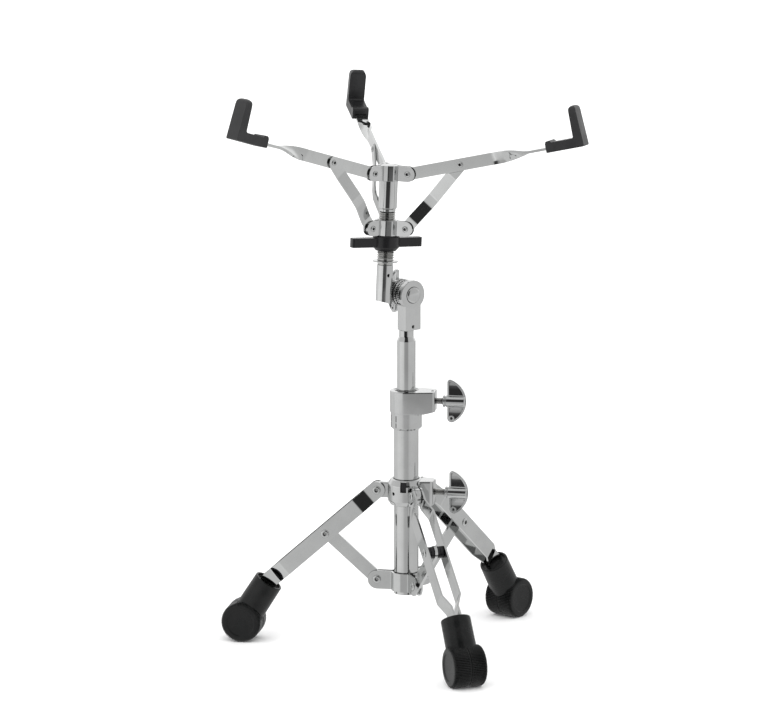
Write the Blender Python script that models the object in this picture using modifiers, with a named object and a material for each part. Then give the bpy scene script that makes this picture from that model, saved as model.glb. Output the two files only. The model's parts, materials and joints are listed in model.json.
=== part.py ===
"""Snare drum stand: a folding three-leg base, a telescopic column, a geared tilter and a
three-arm basket that grips the drum. Metres, +Z up. The origin is on the floor under the
middle of the stand, and the column stands a few millimetres beside it."""

import math

import bmesh
import bpy
from mathutils import Matrix, Vector

OBJECT_NAME = "snare_drum_stand"
GAP = 0.0003  # clearance between neighbouring pieces
OVERLAP = 0.002  # how far a shape runs past another that it is joined to or cuts
ROUND = 24  # sides of tubes and collars
PIN_ROUND = 10  # sides of pins and their holes
HALF_TURN = 6  # sides of a half-round strip end

# Column
COLUMN_X = 0.0049
COLUMN_Y = -0.0057
TUBE_RADIUS = 0.0127  # one-inch lower tube
TUBE_WALL = 0.0015
TUBE_BOTTOM = 0.0570
TUBE_TOP = 0.2650
POST_RADIUS = 0.009525  # three-quarter-inch upper tube
POST_BOTTOM = 0.1100
POST_SHOULDER = 0.3216
NECK_RADIUS = 0.0075
NECK_BOTTOM = 0.3260
NECK_TOP = 0.3327
BUSH_BOTTOM = 0.2260

# Tripod
LEG_AZIMUTHS = {"front": -70.2, "right": 50.2, "left": 169.6}
PIVOT_RADIUS = 0.0300  # from the column's axis to the top and low pivots
TOP_PIVOT_Z = 0.1650
LOW_PIVOT_Z = 0.0708
LINK_RADIUS = 0.0830  # from the column's axis to a leg's middle pivot
LEG_WIDTH = 0.0170
LEG_THICKNESS = 0.0020
LEG_EAR_THICKNESS = 0.0064
LEG_INNER_TOP = 0.0035  # a leg strip's inner face from the leg's mid-plane, at the ear
LEG_INNER_MIDDLE = 0.0088
LEG_INNER_FOOT = 0.00015
LEG_STATIONS = (0.011, 0.025, 0.129, 0.149)  # where a leg strip bends, along its length
BRACE_WIDTH = 0.0140
BRACE_THICKNESS = 0.0030
PIN_RADIUS = 0.0026
PIN_HEAD_RADIUS = 0.0043
PIN_HEAD = 0.0013
SPACER_RADIUS = 0.0060
FOOT_OUT = 0.1711  # from the column's axis to a foot's middle
FOOT_RADIUS = 0.0210
FOOT_WIDTH = 0.0350
FOOT_ROUND = 24
SLEEVE_SLOPE = math.radians(57.5)
SLEEVE_TOP = 0.0500  # along the sleeve from the foot's middle
SLEEVE_RADIUS = 0.0151
LEG_IN_SLEEVE = 0.0250  # length of leg beyond its knee
SOCKET_BOTTOM = 0.0180
COLLAR_RADIUS = 0.0190
COLLAR_BOTTOM = 0.1506
COLLAR_TOP = 0.1780
LOW_COLLAR_RADIUS = 0.0158
LOW_COLLAR_BOTTOM = 0.0600
LOW_COLLAR_TOP = 0.0800
EAR_WALL = 0.0020
LOW_EAR_HALF_HEIGHT = 0.0096
LOW_EAR_DROP = 0.0008  # the ear's middle is a little below its pivot
LOW_EAR_INNER = 0.0018

# Clamps and wing screws
CLAMP_RADIUS = 0.0168
CLAMP_SLEEVE_RADIUS = 0.0161
CLAMP_BOTTOM = 0.2300
CLAMP_STEP = 0.2470
CLAMP_TOP = 0.2702
CLAMP_SCREW_Z = 0.2594
CLAMP_AZIMUTH = -6.0
LUG_END = 0.0304
LUG_HALF_WIDTH = 0.0108
COLLAR_SCREW_Z = 0.1648
COLLAR_SCREW_AZIMUTH = -10.0
SCREW_RADIUS = 0.0034
SCREW_TIP = 0.0133
WING_HUB_START = 0.0378
WING_HUB_END = 0.0612
WING_HUB_RADIUS = 0.0062
WING_START = 0.0422
WING_REACH = 0.0195
WING_HALF_HEIGHT = 0.0230
WING_THICKNESS = 0.0034
COLLAR_SCREW_SHIFT = 0.0030

# Tilter
TILT_Z = 0.3700
TILT_AXIS_TURN = 38.4  # the tilter faces this much to the side of the front
REST_TILT = 2.975
HOUSING_HALF_WIDTH = 0.0101
HOUSING_FRONT = 0.0112
HOUSING_BACK = 0.0023
HOUSING_BOTTOM = -0.0367
HEAD_RADIUS = 0.0150
GEAR_RADIUS = 0.0143
GEAR_THICKNESS = 0.0024
CAP_RADIUS = 0.0088
CAP_HEIGHT = 0.0034
BOLT_RADIUS = 0.0037
BOLT_END = 0.0240
TILT_WING_END = 0.0300
POST_OFF_PIVOT = 0.0261  # the basket's post stands this far beside the tilting axle
POST_BACK = 0.0040
BASKET_POST_RADIUS = 0.0083
BASKET_POST_BOTTOM = -0.0084
BASKET_POST_TOP = 0.0311
SPIGOT_RADIUS = 0.0050
SPIGOT_BOTTOM = 0.0110
WEB_THICKNESS = 0.0048
WEB_HALF_HEIGHT = 0.0080

# Basket: heights run along its own axis from the tilting axle
BASKET_AZIMUTHS = {"back": 100.7, "left": 220.7, "right": 340.7}
THREAD_RADIUS = 0.0088
WASHER_RADIUS = 0.0130
WASHER_BOTTOM = 0.0339
WASHER_TOP = 0.0354
NUT_BOTTOM = 0.0454
NUT_TOP = 0.0609
NUT_RADIUS = 0.0137
NUT_REACH = 0.0388
NUT_WING_HEIGHT = 0.0096
NUT_WING_THICKNESS = 0.0085
NUT_AZIMUTH = 25.0
HUB_HEIGHT = 0.1250
HUB_DROP = 0.0559  # from the hub's pivots down to the slider's pivots
BASKET_PIVOT_RADIUS = 0.0209
HUB_RADIUS = 0.0098
HUB_HALF_HEIGHT = 0.0081
SLIDER_RADIUS = 0.0108
SLIDER_HALF_HEIGHT = 0.0079
BASKET_SLEEVE_RADIUS = 0.009525
BASKET_SLEEVE_BOTTOM = 0.0856
THREAD_TOP = 0.0853
ARM_SLOPE = math.radians(14.43)
ARM_TO_LINK = 0.0567  # along an arm from the hub's pivot to the strut's pivot
ARM_WIDTH = 0.0125
ARM_THICKNESS = 0.0026
ARM_LENGTH = 0.1780
TWIST_START = 0.0940
TWIST_END = 0.1300
TWIST_STEPS = 6
STRUT_WIDTH = 0.0122
STRUT_THICKNESS = 0.0020
STRUT_STATIONS = (0.058, 0.076)  # where a strut bends back to the middle of its ear
SMALL_PIN_RADIUS = 0.0020
SMALL_HEAD_RADIUS = 0.0031
SMALL_HEAD = 0.0011
SMALL_EAR_INNER = 0.0016
SMALL_EAR_WALL = 0.0018
OPEN_HOLE = 0.0034  # the strut's lower hole is wide, because the basket's pivots close there
BOOT_START = 0.1510
BOOT_END = 0.1911
BOOT_WIDTH = 0.0170
BOOT_BOTTOM = -0.0040
BOOT_SEAT = 0.0058
BOOT_TOP = 0.0380
BOOT_WALL_TOP = 0.0078
BOOT_WALL_LEAN = 0.0018  # how far the wall's top comes inwards
BOOT_WALL_BOTTOM = 0.0100
BOOT_LIP_LENGTH = 0.0070
BOOT_LIP_HEIGHT = 0.0022

LEG_SLOPE = math.atan2((TOP_PIVOT_Z - LOW_PIVOT_Z) / 2, LINK_RADIUS - PIVOT_RADIUS)
LEG_TO_LINK = math.hypot((TOP_PIVOT_Z - LOW_PIVOT_Z) / 2, LINK_RADIUS - PIVOT_RADIUS)
SLIDER_HEIGHT = HUB_HEIGHT - HUB_DROP

FLAT_ON_EDGE = Matrix.Rotation(math.radians(90), 4, "X")  # a flat outline stood in the XZ plane
TURN_TO_Y = Matrix.Rotation(math.radians(-90), 4, "X")  # an upright turned shape laid along +Y
TURN_TO_X = Matrix.Rotation(math.radians(90), 4, "Y")  # an upright turned shape laid along +X

STAND = Matrix.Translation((COLUMN_X, COLUMN_Y, 0))

parts = None
tools = None
bodies = {}


# ---------------------------------------------------------------- scene and materials


def clear_scene():
    for item in list(bpy.data.objects):
        bpy.data.objects.remove(item)


def new_collection(name):
    made = bpy.data.collections.new(name)
    bpy.context.scene.collection.children.link(made)
    return made


def new_material(name, colour, roughness, metallic):
    made = bpy.data.materials.new(name)
    made.use_nodes = True
    shader = made.node_tree.nodes["Principled BSDF"]
    shader.inputs["Base Color"].default_value = (*colour, 1)
    shader.inputs["Roughness"].default_value = roughness
    shader.inputs["Metallic"].default_value = metallic
    made.diffuse_color = (*colour, 1)
    return made


def make_materials():
    new_material("chrome", (0.83, 0.84, 0.85), 0.07, 1.0)
    new_material("zinc", (0.62, 0.63, 0.64), 0.28, 1.0)
    new_material("foot_rubber", (0.016, 0.017, 0.018), 0.42, 0.0)
    new_material("boot_rubber", (0.028, 0.028, 0.032), 0.55, 0.0)
    new_material("black_plastic", (0.014, 0.014, 0.016), 0.38, 0.0)


def add_body(name, frame, parent=None):
    """An empty on the joint of a group of pieces that move together."""
    empty = bpy.data.objects.new("joint_" + name, None)
    empty.empty_display_size = 0.01
    parts.objects.link(empty)
    if parent:
        empty.parent = bodies[parent]
        empty.matrix_parent_inverse = bodies[parent].matrix_world.inverted()
    empty.matrix_basis = frame
    bpy.context.view_layer.update()
    bodies[name] = empty


# ---------------------------------------------------------------- shapes


def arc(centre_x, centre_y, radius, start, end, steps):
    """Points from start to end, in degrees, both ends included."""
    points = []
    for i in range(steps + 1):
        angle = math.radians(start + (end - start) * i / steps)
        points.append((centre_x + radius * math.cos(angle), centre_y + radius * math.sin(angle)))
    return points


def circle(centre_x, centre_y, radius, sides=PIN_ROUND):
    return arc(centre_x, centre_y, radius, 0, 360, sides)[:-1]


def strip_outline(length, width, square_end=False):
    """A strip with a round end about (0, 0) and another about (length, 0), or a square end there."""
    half = width / 2
    points = arc(0, 0, half, 90, 270, HALF_TURN)
    if square_end:
        return points + [(length, -half), (length, half)]
    return points + arc(length, 0, half, -90, 90, HALF_TURN)


def flat_mesh(name, outlines, thickness):
    """A flat outline with holes, given its thickness about Z = 0."""
    curve = bpy.data.curves.new(name, "CURVE")
    curve.dimensions = "2D"
    curve.fill_mode = "BOTH"
    curve.extrude = thickness / 2
    for points in outlines:
        spline = curve.splines.new("POLY")
        spline.points.add(len(points) - 1)
        for point, (x, y) in zip(spline.points, points):
            point.co = (x, y, 0, 1)
        spline.use_cyclic_u = True
    drawn = bpy.data.objects.new(name + "_outline", curve)
    parts.objects.link(drawn)
    graph = bpy.context.evaluated_depsgraph_get()
    mesh = bpy.data.meshes.new_from_object(drawn.evaluated_get(graph))
    bpy.data.objects.remove(drawn)
    bpy.data.curves.remove(curve)
    work = bmesh.new()
    work.from_mesh(mesh)
    bmesh.ops.remove_doubles(work, verts=work.verts, dist=1e-6)
    bmesh.ops.recalc_face_normals(work, faces=work.faces)
    work.to_mesh(mesh)
    work.free()
    return mesh


def bend_mesh(mesh, stations, move):
    """Cuts a flat strip across at each station along X, then moves every point by a rule."""
    work = bmesh.new()
    work.from_mesh(mesh)
    for station in stations:
        everything = work.verts[:] + work.edges[:] + work.faces[:]
        bmesh.ops.bisect_plane(work, geom=everything, plane_co=(station, 0, 0), plane_no=(1, 0, 0))
    bmesh.ops.triangulate(work, faces=work.faces)
    for vertex in work.verts:
        vertex.co = move(vertex.co)
    work.to_mesh(mesh)
    work.free()
    return mesh


def rod_mesh(name, radius, start, end, sides=ROUND, frame=Matrix.Identity(4), end_radius=None):
    """A closed cylinder or cone along the frame's Z, from start to end."""
    work = bmesh.new()
    place = frame @ Matrix.Translation((0, 0, (start + end) / 2))
    far_radius = radius if end_radius is None else end_radius
    bmesh.ops.create_cone(
        work, cap_ends=True, segments=sides, radius1=radius, radius2=far_radius,
        depth=end - start, matrix=place,
    )
    mesh = bpy.data.meshes.new(name)
    work.to_mesh(mesh)
    work.free()
    return mesh


def block_mesh(name, low, high):
    work = bmesh.new()
    low = Vector(low)
    high = Vector(high)
    size = high - low
    place = Matrix.Translation((low + high) / 2) @ Matrix.Diagonal((*size, 1))
    bmesh.ops.create_cube(work, size=1, matrix=place)
    mesh = bpy.data.meshes.new(name)
    work.to_mesh(mesh)
    work.free()
    return mesh


def merged_mesh(name, placed_meshes):
    """Several closed shapes in one mesh, each with its own frame, to join or cut in one step."""
    work = bmesh.new()
    for mesh, frame in placed_meshes:
        copy = mesh.copy()
        copy.transform(frame)
        work.from_mesh(copy)
        bpy.data.meshes.remove(copy)
    mesh = bpy.data.meshes.new(name)
    work.to_mesh(mesh)
    work.free()
    return mesh


# ---------------------------------------------------------------- pieces and tools


def place_object(name, data, frame, collection):
    made = bpy.data.objects.new(name, data)
    collection.objects.link(made)
    made.matrix_basis = frame
    return made


def piece(name, mesh, frame, material, body):
    """A sub-part: one named object, which moves with its body."""
    made = place_object(name, mesh, frame, parts)
    made.data.materials.clear()
    made.data.materials.append(bpy.data.materials[material])
    made.data.set_sharp_from_angle(angle=math.radians(35))
    made.parent = bodies[body]
    made.matrix_parent_inverse = bodies[body].matrix_world.inverted()
    made.matrix_basis = frame
    return made


def tool(name, mesh, frame):
    """A hidden shape that joins or cuts a piece."""
    made = place_object(name, mesh, frame, tools)
    made.hide_render = True
    made.display_type = "WIRE"
    return made


def turn_profile(made, sides):
    """Turns a drawn profile into a solid about its own Z."""
    screw = made.modifiers.new("turned", "SCREW")
    screw.axis = "Z"
    screw.steps = sides
    screw.render_steps = sides
    screw.use_merge_vertices = True
    screw.merge_threshold = 0.00001


def profile_mesh(name, profile):
    """A turned shape's half section at +X, top to bottom on its outer side."""
    mesh = bpy.data.meshes.new(name)
    count = len(profile)
    edges = [(i, i + 1) for i in range(count - 1)]
    if profile[0][0] > 0:
        edges.append((count - 1, 0))
    mesh.from_pydata([(radius, 0, height) for radius, height in profile], edges, [])
    return mesh


def turned_piece(name, profile, frame, material, body, sides=ROUND):
    made = piece(name, profile_mesh(name, profile), frame, material, body)
    turn_profile(made, sides)
    return made


def turned_tool(name, profile, frame, sides=ROUND):
    made = tool(name, profile_mesh(name, profile), frame)
    turn_profile(made, sides)
    return made


def combine(made, other, operation):
    boolean = made.modifiers.new(other.name, "BOOLEAN")
    boolean.operation = operation
    boolean.solver = "EXACT"
    boolean.object = other


def ring_profile(inner, outer, bottom, top):
    return [(outer, top), (outer, bottom), (inner, bottom), (inner, top)]


def radial_frame(azimuth, radius=0.0, height=0.0, base=STAND):
    """A frame with X away from the axis, Y around it and Z along it."""
    turn = Matrix.Rotation(math.radians(azimuth), 4, "Z")
    return base @ turn @ Matrix.Translation((radius, 0, height))


def strip_frame(place, slope):
    """A flat outline's frame: its X slopes down from the frame's X, and its Z is across the strip."""
    return place @ Matrix.Rotation(slope, 4, "Y") @ FLAT_ON_EDGE


# ---------------------------------------------------------------- rivets


def rivet_profile(low, high, radius, head_radius, head, spacers=()):
    """A riveted pin between its two heads, with any thicker stretches between them."""
    points = [(0, high + head), (head_radius * 0.6, high + head), (head_radius, high + head * 0.4)]
    points += [(head_radius, high), (radius, high)]
    for start, end, spacer_radius in spacers:
        points += [(radius, start), (spacer_radius, start), (spacer_radius, end), (radius, end)]
    points += [(radius, low), (head_radius, low), (head_radius, low - head * 0.4)]
    return points + [(head_radius * 0.6, low - head), (0, low - head)]


# ---------------------------------------------------------------- tripod


def leg_outline():
    """A leg strip, straight from its round top to the knee, and steeper from there on."""
    half = LEG_WIDTH / 2
    turn = SLEEVE_SLOPE - LEG_SLOPE
    knee = knee_length()
    mitre = half * math.tan(turn / 2)
    along = Vector((math.cos(turn), -math.sin(turn)))
    across = Vector((math.sin(turn), math.cos(turn)))
    end = Vector((knee, 0)) + along * LEG_IN_SLEEVE
    points = arc(0, 0, half, 90, 270, HALF_TURN)
    points += [(knee - mitre, -half), tuple(end - across * half), tuple(end + across * half)]
    return points + [(knee + mitre, half)]


def knee_length():
    """Along the leg, from its top pivot to where it meets the sleeve's axis."""
    out = FOOT_OUT - PIVOT_RADIUS
    down = TOP_PIVOT_Z - FOOT_RADIUS
    return (out * math.sin(SLEEVE_SLOPE) - down * math.cos(SLEEVE_SLOPE)) / math.sin(
        SLEEVE_SLOPE - LEG_SLOPE
    )


def leg_inner_face(along):
    """How far a leg strip's inner face is from the leg's mid-plane."""
    start, wide, narrow, end = LEG_STATIONS
    if along <= start:
        return LEG_INNER_TOP
    if along <= wide:
        share = (along - start) / (wide - start)
        return LEG_INNER_TOP + share * (LEG_INNER_MIDDLE - LEG_INNER_TOP)
    if along <= narrow:
        return LEG_INNER_MIDDLE
    if along <= end:
        share = (along - narrow) / (end - narrow)
        return LEG_INNER_MIDDLE + share * (LEG_INNER_FOOT - LEG_INNER_MIDDLE)
    return LEG_INNER_FOOT


def make_leg_strip(name, frame, body, side):
    outlines = [leg_outline(), circle(0, 0, PIN_RADIUS + GAP), circle(LEG_TO_LINK, 0, PIN_RADIUS + GAP)]
    mesh = flat_mesh(name, outlines, LEG_THICKNESS)

    def move(point):
        shift = side * (leg_inner_face(point.x) + LEG_THICKNESS / 2)
        return Vector((point.x, point.y, point.z + shift))

    bend_mesh(mesh, LEG_STATIONS, move)
    piece(name, mesh, frame, "chrome", body)


def make_foot(name, azimuth, body):
    """A rubber foot: a barrel across the leg and a sleeve that takes the leg's end."""
    place = radial_frame(azimuth, FOOT_OUT, FOOT_RADIUS)
    flat_down = Matrix.Rotation(math.pi / FOOT_ROUND, 4, "Z")
    corner_radius = FOOT_RADIUS / math.cos(math.pi / FOOT_ROUND)
    half = FOOT_WIDTH / 2
    rim = 0.003
    profile = [
        (0, half), (corner_radius - rim, half), (corner_radius, half - rim),
        (corner_radius, rim - half), (corner_radius - rim, -half), (0, -half),
    ]
    barrel = turned_piece(name, profile, place @ TURN_TO_Y @ flat_down, "foot_rubber", body, FOOT_ROUND)
    up_the_leg = place @ Matrix.Rotation(SLEEVE_SLOPE - math.radians(90), 4, "Y")
    sleeve = rod_mesh(name + "_sleeve", SLEEVE_RADIUS + 0.0006, 0.006, SLEEVE_TOP, FOOT_ROUND,
                      end_radius=SLEEVE_RADIUS)
    combine(barrel, tool(name + "_sleeve", sleeve, up_the_leg), "UNION")
    half_width = LEG_WIDTH / 2 + 0.0024
    half_depth = LEG_INNER_FOOT + LEG_THICKNESS + GAP
    socket = block_mesh(
        name + "_socket", (-half_width, -half_depth, SOCKET_BOTTOM),
        (half_width, half_depth, SLEEVE_TOP + OVERLAP),
    )
    combine(barrel, tool(name + "_socket", socket, up_the_leg), "DIFFERENCE")


def make_leg(side_name, azimuth):
    leg = "leg_" + side_name
    brace = "brace_" + side_name
    top = radial_frame(azimuth, PIVOT_RADIUS, TOP_PIVOT_Z)
    middle = radial_frame(azimuth, LINK_RADIUS, (TOP_PIVOT_Z + LOW_PIVOT_Z) / 2)
    low = radial_frame(azimuth, PIVOT_RADIUS, LOW_PIVOT_Z)
    add_body(leg, top, "tripod_collar")
    add_body(brace, middle, leg)
    frame = strip_frame(top, LEG_SLOPE)
    make_leg_strip("leg_strip_" + side_name + "_a", frame, leg, 1)
    make_leg_strip("leg_strip_" + side_name + "_b", frame, leg, -1)
    make_foot("foot_" + side_name, azimuth, leg)

    outlines = [strip_outline(LEG_TO_LINK, BRACE_WIDTH)]
    outlines += [circle(0, 0, PIN_RADIUS + GAP), circle(LEG_TO_LINK, 0, PIN_RADIUS + GAP)]
    link = flat_mesh(brace, outlines, BRACE_THICKNESS)
    piece(brace, link, strip_frame(low, -LEG_SLOPE), "chrome", brace)

    outside = LEG_INNER_TOP + LEG_THICKNESS + GAP
    profile = rivet_profile(-outside, outside, PIN_RADIUS, PIN_HEAD_RADIUS, PIN_HEAD)
    turned_piece("leg_pin_" + side_name, profile, top @ TURN_TO_Y, "chrome", leg, PIN_ROUND)

    outside = LEG_INNER_MIDDLE + LEG_THICKNESS + GAP
    start = LEG_INNER_MIDDLE - GAP
    end = BRACE_THICKNESS / 2 + GAP
    spacers = ((start, end, SPACER_RADIUS), (-end, -start, SPACER_RADIUS))
    profile = rivet_profile(-outside, outside, PIN_RADIUS, PIN_HEAD_RADIUS, PIN_HEAD, spacers)
    turned_piece("brace_pin_" + side_name, profile, middle @ TURN_TO_Y, "black_plastic", leg, PIN_ROUND)


def pin_holes(name, azimuths, radius, height, pin_radius, half_length, base=STAND):
    """One cutter with a pin hole across each pivot around an axis."""
    hole = rod_mesh(name, pin_radius + GAP, -half_length, half_length, PIN_ROUND)
    placed = [
        (hole, radial_frame(azimuth, radius, height, base) @ TURN_TO_Y) for azimuth in azimuths.values()
    ]
    return tool(name, merged_mesh(name, placed), Matrix.Identity(4))


def ear_outline(inner, pivot, half_height):
    """An ear from inside its collar out to a round end about its pivot."""
    points = [(inner, half_height), (inner, -half_height)]
    return points + arc(pivot, 0, half_height, -90, 90, HALF_TURN)


def ears_tool(name, azimuths, outline, height, layers, base=STAND):
    """One joiner with every ear around an axis. Each layer is an ear's middle and its thickness."""
    placed = []
    for middle, thickness in layers:
        mesh = flat_mesh(name, [outline], thickness)
        for azimuth in azimuths.values():
            place = radial_frame(azimuth, 0, height, base)
            placed.append((mesh, strip_frame(place, 0) @ Matrix.Translation((0, 0, middle))))
    return tool(name, merged_mesh(name, placed), Matrix.Identity(4))


def make_tripod_collar():
    """The collar that slides on the tube and carries the legs."""
    profile = ring_profile(TUBE_RADIUS + GAP, COLLAR_RADIUS, COLLAR_BOTTOM, COLLAR_TOP)
    collar = turned_piece("tripod_collar", profile, STAND, "chrome", "tripod_collar")
    outline = ear_outline(COLLAR_RADIUS - OVERLAP, PIVOT_RADIUS, LEG_WIDTH / 2 - 0.0005)
    ears = ears_tool("collar_ears", LEG_AZIMUTHS, outline, TOP_PIVOT_Z, [(0, LEG_EAR_THICKNESS)])
    combine(collar, ears, "UNION")
    lug = block_mesh(
        "collar_lug", (COLLAR_RADIUS - 2 * OVERLAP, -LUG_HALF_WIDTH + 0.001, COLLAR_BOTTOM + 0.0005),
        (LUG_END, LUG_HALF_WIDTH - 0.001, COLLAR_TOP - 0.0005),
    )
    lug_frame = radial_frame(COLLAR_SCREW_AZIMUTH)
    combine(collar, tool("collar_lug", lug, lug_frame), "UNION")
    holes = pin_holes("collar_pin_holes", LEG_AZIMUTHS, PIVOT_RADIUS, TOP_PIVOT_Z, PIN_RADIUS, 0.006)
    combine(collar, holes, "DIFFERENCE")
    bore = rod_mesh("collar_screw_hole", SCREW_RADIUS + GAP, 0.006, LUG_END + OVERLAP, PIN_ROUND)
    bore_frame = radial_frame(COLLAR_SCREW_AZIMUTH, 0, COLLAR_SCREW_Z) @ TURN_TO_X
    combine(collar, tool("collar_screw_hole", bore, bore_frame), "DIFFERENCE")


def make_low_collar():
    """The collar fixed to the tube's lower end, with a fork for each brace."""
    profile = ring_profile(TUBE_RADIUS + GAP, LOW_COLLAR_RADIUS, LOW_COLLAR_BOTTOM, LOW_COLLAR_TOP)
    collar = turned_piece("lower_collar", profile, STAND, "chrome", "column")
    outline = ear_outline(TUBE_RADIUS + 0.0012, PIVOT_RADIUS, LOW_EAR_HALF_HEIGHT)
    middle = LOW_EAR_INNER + EAR_WALL / 2
    layers = [(middle, EAR_WALL), (-middle, EAR_WALL)]
    ears = ears_tool("lower_collar_ears", LEG_AZIMUTHS, outline, LOW_PIVOT_Z - LOW_EAR_DROP, layers)
    combine(collar, ears, "UNION")
    holes = pin_holes("lower_collar_pin_holes", LEG_AZIMUTHS, PIVOT_RADIUS, LOW_PIVOT_Z, PIN_RADIUS, 0.006)
    combine(collar, holes, "DIFFERENCE")
    outside = LOW_EAR_INNER + EAR_WALL + GAP
    profile = rivet_profile(-outside, outside, PIN_RADIUS, PIN_HEAD_RADIUS, PIN_HEAD)
    for side_name, azimuth in LEG_AZIMUTHS.items():
        low = radial_frame(azimuth, PIVOT_RADIUS, LOW_PIVOT_Z)
        turned_piece("brace_foot_pin_" + side_name, profile, low @ TURN_TO_Y, "chrome", "column", PIN_ROUND)


# ---------------------------------------------------------------- column and clamp


def make_column():
    tube = ring_profile(TUBE_RADIUS - TUBE_WALL, TUBE_RADIUS, TUBE_BOTTOM, TUBE_TOP)
    turned_piece("lower_tube", tube, STAND, "chrome", "column")
    bush = ring_profile(POST_RADIUS + GAP, TUBE_RADIUS - TUBE_WALL - GAP, BUSH_BOTTOM, TUBE_TOP)
    turned_piece("clamp_bush", bush, STAND, "black_plastic", "column")
    inner = POST_RADIUS - TUBE_WALL
    post = [
        (0, NECK_TOP), (NECK_RADIUS, NECK_TOP), (NECK_RADIUS, NECK_BOTTOM),
        (POST_RADIUS, POST_SHOULDER), (POST_RADIUS, POST_BOTTOM), (inner, POST_BOTTOM),
        (inner, POST_SHOULDER - 0.004), (0, POST_SHOULDER - 0.004),
    ]
    turned_piece("upper_tube", post, STAND, "chrome", "upper_post")


def clamp_outline():
    """The height clamp from above: a round body drawn out to a lug."""
    corner = 0.0045
    points = arc(0, 0, CLAMP_RADIUS, 55, 305, 20)
    points += arc(LUG_END - corner, corner - LUG_HALF_WIDTH, corner, -90, 0, 3)
    return points + arc(LUG_END - corner, LUG_HALF_WIDTH - corner, corner, 0, 90, 3)


def make_clamp():
    """The casting on top of the lower tube that clamps the upper tube."""
    middle = (CLAMP_STEP + CLAMP_TOP) / 2
    body_mesh = flat_mesh("height_clamp", [clamp_outline()], CLAMP_TOP - CLAMP_STEP)
    frame = radial_frame(CLAMP_AZIMUTH, 0, middle)
    clamp = piece("height_clamp", body_mesh, frame, "chrome", "column")
    sleeve = rod_mesh("clamp_sleeve", CLAMP_SLEEVE_RADIUS, CLAMP_BOTTOM, CLAMP_STEP + OVERLAP)
    combine(clamp, tool("clamp_sleeve", sleeve, STAND), "UNION")
    wide = TUBE_RADIUS + GAP
    narrow = POST_RADIUS + GAP
    bore = [
        (0, CLAMP_TOP + OVERLAP), (narrow, CLAMP_TOP + OVERLAP), (narrow, TUBE_TOP + GAP),
        (wide, TUBE_TOP + GAP), (wide, CLAMP_BOTTOM - OVERLAP), (0, CLAMP_BOTTOM - OVERLAP),
    ]
    combine(clamp, turned_tool("clamp_bore", bore, STAND), "DIFFERENCE")
    hole = rod_mesh("clamp_screw_hole", SCREW_RADIUS + GAP, 0.006, LUG_END + OVERLAP, PIN_ROUND)
    hole_frame = radial_frame(CLAMP_AZIMUTH, 0, CLAMP_SCREW_Z) @ TURN_TO_X
    combine(clamp, tool("clamp_screw_hole", hole, hole_frame), "DIFFERENCE")


# ---------------------------------------------------------------- wing screws


def wing_outline(start):
    """A half-moon: a straight inner edge and a round outer edge, across the screw's axis."""
    bulge = 0.0046
    points = [(start, WING_HALF_HEIGHT * 0.86), (start, -WING_HALF_HEIGHT * 0.86)]
    return points + arc(start - bulge, 0, WING_REACH + bulge, -70, 70, 12)


def make_wing(made, frame, start):
    wing = flat_mesh(made.name + "_wing", [wing_outline(start)], WING_THICKNESS)
    combine(made, tool(made.name + "_wing", wing, frame @ FLAT_ON_EDGE), "UNION")


def make_wing_screw(name, azimuth, height, shift, body, parent):
    """A wing screw whose tip meets the tube. Its frame's X is the screw's axis."""
    frame = radial_frame(azimuth, 0, height)
    add_body(body, frame, parent)
    start = WING_HUB_START + shift
    end = WING_HUB_END + shift
    profile = [
        (0, end), (WING_HUB_RADIUS - 0.0008, end), (WING_HUB_RADIUS, end - 0.0008),
        (WING_HUB_RADIUS, start + 0.0008), (WING_HUB_RADIUS - 0.0008, start), (SCREW_RADIUS, start),
        (SCREW_RADIUS, SCREW_TIP), (0, SCREW_TIP),
    ]
    screw = turned_piece(name, profile, frame @ TURN_TO_X, "chrome", body, 16)
    make_wing(screw, frame, WING_START + shift)


# ---------------------------------------------------------------- tilter


def tilter_frame():
    """Upright frame on the tilting axle: Y along the axle to the front, X towards the basket's post."""
    axle = math.radians(TILT_AXIS_TURN)
    across = Vector((-math.cos(axle), -math.sin(axle), 0))
    along = Vector((math.sin(axle), -math.cos(axle), 0))
    up = Vector((0, 0, 1))
    turn = Matrix((across, along, up)).transposed().to_4x4()
    return STAND @ Matrix.Translation((0, 0, TILT_Z)) @ turn


def head_frame():
    """The tilter's frame leaned with the basket."""
    return tilter_frame() @ Matrix.Rotation(math.radians(-REST_TILT), 4, "Y")


def basket_frame():
    """Upright-turned frame of the basket's axis: its heights run from the tilting axle."""
    axis = head_frame() @ Matrix.Translation((POST_OFF_PIVOT, -POST_BACK, 0))
    upright_turn = Matrix.Rotation(math.radians(-180 - TILT_AXIS_TURN), 4, "Z")
    return axis @ upright_turn


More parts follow.
